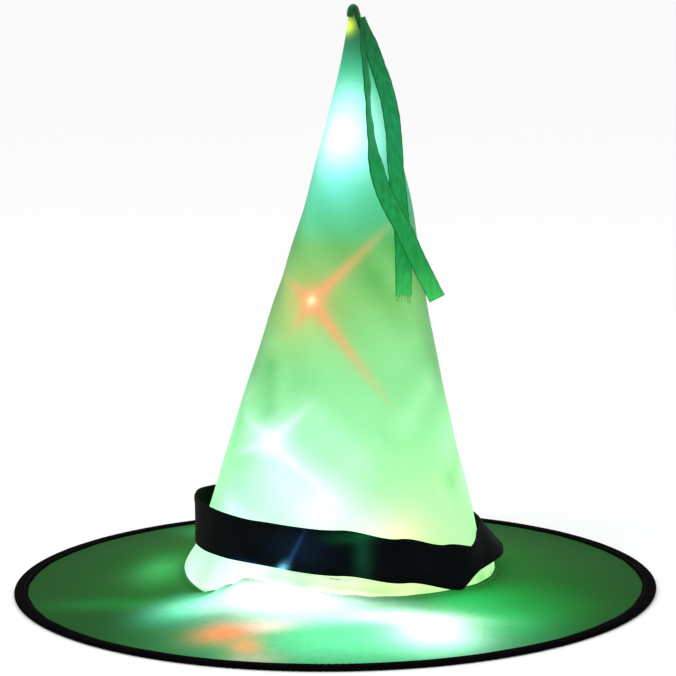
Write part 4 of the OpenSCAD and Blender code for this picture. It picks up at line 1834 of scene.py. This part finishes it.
@dataclass
class SeamTape:
    """The white tape inside the head opening, with stitches along both edges.

    Args:
        centre: sideways place of its middle.
        radius: radius of its outer face.
        low: height of its lower edge.
        high: height of its upper edge.
        thick: its thickness, with what is folded in.
        rows: rows of points up the tape.
        stitched: the rows that are stitched.
        line: shift of the crown seam.
        follows: how much of that shift the tape takes up.
    """

    finish: Finish = Woven("seam_tape", (0.62, 0.64, 0.58), (0.42, 0.46, 0.36), 0.6, 0.2, 0.8, 0.3)
    thread: Finish = Woven("white_thread", (0.7, 0.72, 0.68), (0.5, 0.52, 0.48), 0.25, 0.05, 0.6, 0.3)
    stitch: Stitch = Stitch(2.4, 0.9, 0.17)
    centre: float = 3.4
    radius: float = 88.0
    low: float = 9.7
    high: float = 19.7
    thick: float = 0.9
    rows: int = 14
    stitched: tuple[int, int] = (2, 11)
    line: SeamLine = SeamLine()
    follows: float = 0.9

    def build(self) -> None:
        """Makes the pieces."""
        a = np.arange(360) * 1.0 - 180.0
        grid_v, grid_a = np.meshgrid(np.linspace(0, 1, self.rows), a, indexing="ij")
        rad = np.radians(grid_a)
        ripple = 0.18 * np.sin(19 * rad) + 0.12 * np.sin(47 * rad + 3 * grid_v)
        z = self.low + (self.high - self.low) * grid_v + self.line.rise(grid_a) * self.follows
        faces = (self.radius, self.radius - self.thick)
        outer, inner = (polar(r + ripple, rad, z, self.centre) for r in faces)
        slab(outer, inner, True).piece("seam_tape_cloth", self.finish, Body.HAT, "white_tape", ["seam_tape"])
        inward = -polar(np.ones(len(a)), rad[0], 0.0)
        rows = [self.stitch.row(inner[k], inward, True) for k in self.stitched]
        Mesh.joined(rows).piece("seam_tape_stitches", self.thread, Body.HAT, "white_tape")


@dataclass(frozen=True)
class Dressed:
    """A CAD node that is shown as it is.

    Args:
        node: its name.
        finish: its surface.
        slot: the record's material slot. Not used.
        edge: width of its rounded edges, 0 where they stay as they are.
    """

    node: str
    finish: Finish
    slot: str
    edge: float = 0.0

    def dress(self) -> None:
        """Puts the finish and the rounded edges on."""
        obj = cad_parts[self.node]
        obj.data.materials.clear()
        obj.data.materials.append(self.finish.material())
        if self.edge:
            bevel = obj.modifiers.new("edges", "BEVEL")
            bevel.width = self.edge * MM
            bevel.segments = 3
            bevel.limit_method = "ANGLE"
            bevel.angle_limit = math.radians(40)
        log.info("%s: %s", self.node, self.finish.name)


@dataclass
class CadParts:
    """The hoop, the light string and the battery case, from their CAD nodes.

    Args:
        brass: finish of the two contact strips.
        bead_power: strength of the beads' light.
        bead_tints: (colour's name, its tint) of the beads.
    """

    brass: Finish = Metal("contact_brass", (0.75, 0.58, 0.25), (0.4, 0.3, 0.14), 0.3)
    bead_power: float = 1.7
    bead_tints: tuple[tuple[str, Colour], ...] = (
        ("white", (0.9, 0.97, 1.0)), ("blue", (0.2, 0.5, 1.0)), ("red", (1.0, 0.3, 0.12)),
        ("yellow", (1.0, 0.8, 0.25)), ("green", (0.2, 1.0, 0.4)),
    )

    def hoop(self) -> list[Dressed]:
        """The spring hoop and its sleeve.

        Returns:
            The nodes with their finishes.
        """
        return [
            Dressed("brim_hoop", Metal("hoop_steel"), "hoop_steel"),
            Dressed("hoop_sleeve", Metal("crimp_metal", (0.7, 0.7, 0.68)), "crimp_metal"),
        ]

    def light_string(self) -> list[Dressed]:
        """The lead, its beads and the tabs that hold it.

        Returns:
            The nodes with their finishes.
        """
        lacquer = Moulded("wire_lacquer", (0.45, 0.22, 0.06), 0.25, 0.04, 0.6)
        tabs = Woven("tab_cloth", (0.6, 0.65, 0.6), (0.45, 0.5, 0.45), 0.5, 0.15)
        parts = [Dressed("light_wire", lacquer, "wire_coat"), Dressed("wire_tabs", tabs, "white_tape", 0.12)]
        for colour, tint in self.bead_tints:
            lit = LitBead("lit_" + colour, tint, self.bead_power)
            parts.append(Dressed("bead_" + colour, lit, "glow_" + colour))
        return parts

    def battery_case(self) -> list[Dressed]:
        """The case on its pad, and what is in it.

        Returns:
            The nodes with their finishes.
        """
        pad = Woven("pad_loops", (0.55, 0.56, 0.53), (0.35, 0.36, 0.34), 1.1, 0.5)
        zinc = Metal("screw_zinc", (0.66, 0.65, 0.6), (0.35, 0.3, 0.22), 0.3)
        steel = Metal("cell_steel", (0.75, 0.75, 0.76), (0.5, 0.48, 0.45), 0.2)
        board = Moulded("board_mask", (0.02, 0.16, 0.06), 0.3, 0.05, 0.3)
        rubber = Moulded("grommet_rubber", (0.02, 0.02, 0.02), 0.75, 0.12)
        return [
            Dressed("case_pad", pad, "white_tape", 0.25),
            Dressed("case_base", Moulded("case_plastic"), "case_plastic", 0.5),
            Dressed("case_cover", Moulded("cover_plastic", (0.79, 0.79, 0.76)), "case_plastic", 0.4),
            Dressed("battery_lid", Moulded("lid_plastic", (0.76, 0.76, 0.73)), "case_plastic", 0.35),
            Dressed("lid_screw", zinc, "screw_metal", 0.12),
            Dressed("coin_cells", steel, "cell_metal", 0.15),
            Dressed("contact_base", self.brass, "contact_metal", 0.05),
            Dressed("contact_lid", self.brass, "contact_metal", 0.05),
            Dressed("circuit_board", board, "board", 0.08),
            Dressed("switch_body", Moulded("switch_black", (0.02, 0.02, 0.022), 0.5), "switch_plastic", 0.15),
            Dressed("mode_button", Moulded("button_grey", (0.05, 0.05, 0.06), 0.5), "button_plastic", 0.35),
            Dressed("wire_grommet", rubber, "grommet_rubber"),
        ]

    def build(self) -> None:
        """Puts the finishes on."""
        for part in self.hoop() + self.light_string() + self.battery_case():
            part.dress()


# ---------------------------------------------------------------------------- setting


@dataclass(frozen=True)
class Sheet:
    """One piece of cloth as it was cut, in millimetres.

    Args:
        name: the piece that it became. Not used.
        width: width of the cut. Not used.
        length: length of the cut. Not used.
        held: how it is held. Not used.
        rests_on: what it lies on or hangs from. Not used.
        goes_with: separate pieces sewn to it. Not used.
        share: part of the cut's box that the cloth fills. Not used.
    """

    name: str
    width: float
    length: float
    held: Held
    rests_on: tuple[str, ...] = ()
    goes_with: tuple[str, ...] = ()
    share: Optional[float] = None

    def declare(self) -> None:
        """Does nothing."""


@dataclass
class Cutting:
    """The cutting list of the hat, without the two ribbon tails, and the one padded piece.

    Args:
        sheets: the pieces of cloth.
        pad: the padded piece. Not used.
        fill: how full it is, from 0 to 1. Not used.
    """

    sheets: tuple[Sheet, ...] = (
        Sheet("brim_cloth", 372, 372, Held.STRETCHED, ("brim_binding_tape",), (), 0.61),
        Sheet("brim_binding_tape", 10.5, 1197, Held.FOLDED, ("brim_cloth",), ("binding_stitches",)),
        Sheet("crown_cloth", 502, 345, Held.STRETCHED, ("brim_cloth",),
              ("crown_back_seam", "crown_back_stitches", "seam_stitches", "wire_tabs"), 0.573),
        Sheet("seam_tape_cloth", 10, 553, Held.STRETCHED, ("crown_cloth",), ("seam_tape_stitches",)),
        Sheet("band_cloth", 27, 565, Held.HUNG, ("crown_cloth",),
              ("band_stitches", "band_lap", "band_lap_stitches")),
        Sheet("ribbon_turn", 10, 25.5, Held.FOLDED, ("crown_cloth",), ("ribbon_tack",)),
    )
    pad: str = "case_pad"
    fill: float = 0.5

    def build(self) -> None:
        """Calls declare on each sheet, which does nothing."""
        for sheet in self.sheets:
            sheet.declare()


@dataclass
class Viewpoint:
    """The camera in front of the hat, a little above it.

    Args:
        target: the point that it looks at, in metres.
        distance: how far it is from there, in metres.
        pitch: how far it looks down, in degrees.
        roll: how far it is rolled, in degrees.
        lens: focal length in millimetres.
        sensor: width of the sensor in millimetres.
        clip: how far it sees, in metres.
    """

    target: tuple[float, float, float] = (0.003, 0.0, 0.1484)
    distance: float = 1.5
    pitch: float = 8.579
    roll: float = 0.53
    lens: float = 135.56
    sensor: float = 36.0
    clip: float = 200.0

    def build(self) -> None:
        """Makes the camera and hands it to the scene."""
        pitch, roll = math.radians(self.pitch), math.radians(self.roll)
        back = Vector((0, -math.cos(pitch), math.sin(pitch)))
        right, up = Vector((1, 0, 0)), Vector((0, math.sin(pitch), math.cos(pitch)))
        turned_right = right * math.cos(roll) - up * math.sin(roll)
        turned_up = up * math.cos(roll) + right * math.sin(roll)
        data = bpy.data.cameras.new("camera")
        data.lens = self.lens
        data.sensor_width = self.sensor
        data.clip_end = self.clip
        obj = bpy.data.objects.new("camera", data)
        bpy.context.scene.collection.objects.link(obj)
        place = Vector(self.target) + back * self.distance
        turn = Matrix((turned_right, turned_up, back)).transposed().to_4x4()
        obj.matrix_world = Matrix.Translation(place) @ turn
        bpy.context.scene.camera = obj


@dataclass(frozen=True)
class Studio:
    """A pale floor, an even white surround and one soft lamp.

    Args:
        floor_size: side of the floor in metres.
        floor_tint: its colour.
        surround: strength of the surround.
        lamp_power: power of the lamp in watts.
        lamp_size: its width and height in metres.
        lamp_place: where it hangs, in metres.
        lamp_target: where it points.
    """

    floor_size: float = 60.0
    floor_tint: Colour = (0.93, 0.93, 0.93)
    surround: float = 1.02
    lamp_power: float = 14.0
    lamp_size: tuple[float, float] = (1.6, 1.2)
    lamp_place: tuple[float, float, float] = (-1.2, -1.4, 1.7)
    lamp_target: tuple[float, float, float] = (0.0, 0.0, 0.15)

    def build(self) -> None:
        """Makes the floor, the world and the lamp."""
        mesh = bpy.data.meshes.new("floor")
        h = self.floor_size / 2
        mesh.from_pydata([(-h, -h, 0), (h, -h, 0), (h, h, 0), (-h, h, 0)], [], [(0, 1, 2, 3)])
        floor = bpy.data.objects.new("floor", mesh)
        bpy.context.scene.collection.objects.link(floor)
        graph = Graph("floor")
        mesh.materials.append(graph.set(Base_Color=self.floor_tint, Roughness=0.9))
        world = bpy.data.worlds.new("surround")
        world.use_nodes = True
        background = world.node_tree.nodes["Background"]
        background.inputs["Color"].default_value = (1, 1, 1, 1)
        background.inputs["Strength"].default_value = self.surround
        bpy.context.scene.world = world
        data = bpy.data.lights.new("softbox", "AREA")
        data.shape = "RECTANGLE"
        data.size, data.size_y = self.lamp_size
        data.energy = self.lamp_power
        lamp = bpy.data.objects.new("softbox", data)
        bpy.context.scene.collection.objects.link(lamp)
        place = Vector(self.lamp_place)
        turn = (Vector(self.lamp_target) - place).to_track_quat("-Z", "Y").to_matrix().to_4x4()
        lamp.matrix_world = Matrix.Translation(place) @ turn
        bpy.context.scene.view_settings.view_transform = "Standard"


def main() -> None:
    """Builds the scene in order: camera, studio, then the hat from the brim up."""
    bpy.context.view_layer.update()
    Viewpoint().build()
    Studio().build()
    Brim().build()
    Crown().build()
    SeamTape().build()
    Band().build()
    Ribbon().build()
    CadParts().build()
    Cutting().build()


if __name__ == "__main__":
    main()
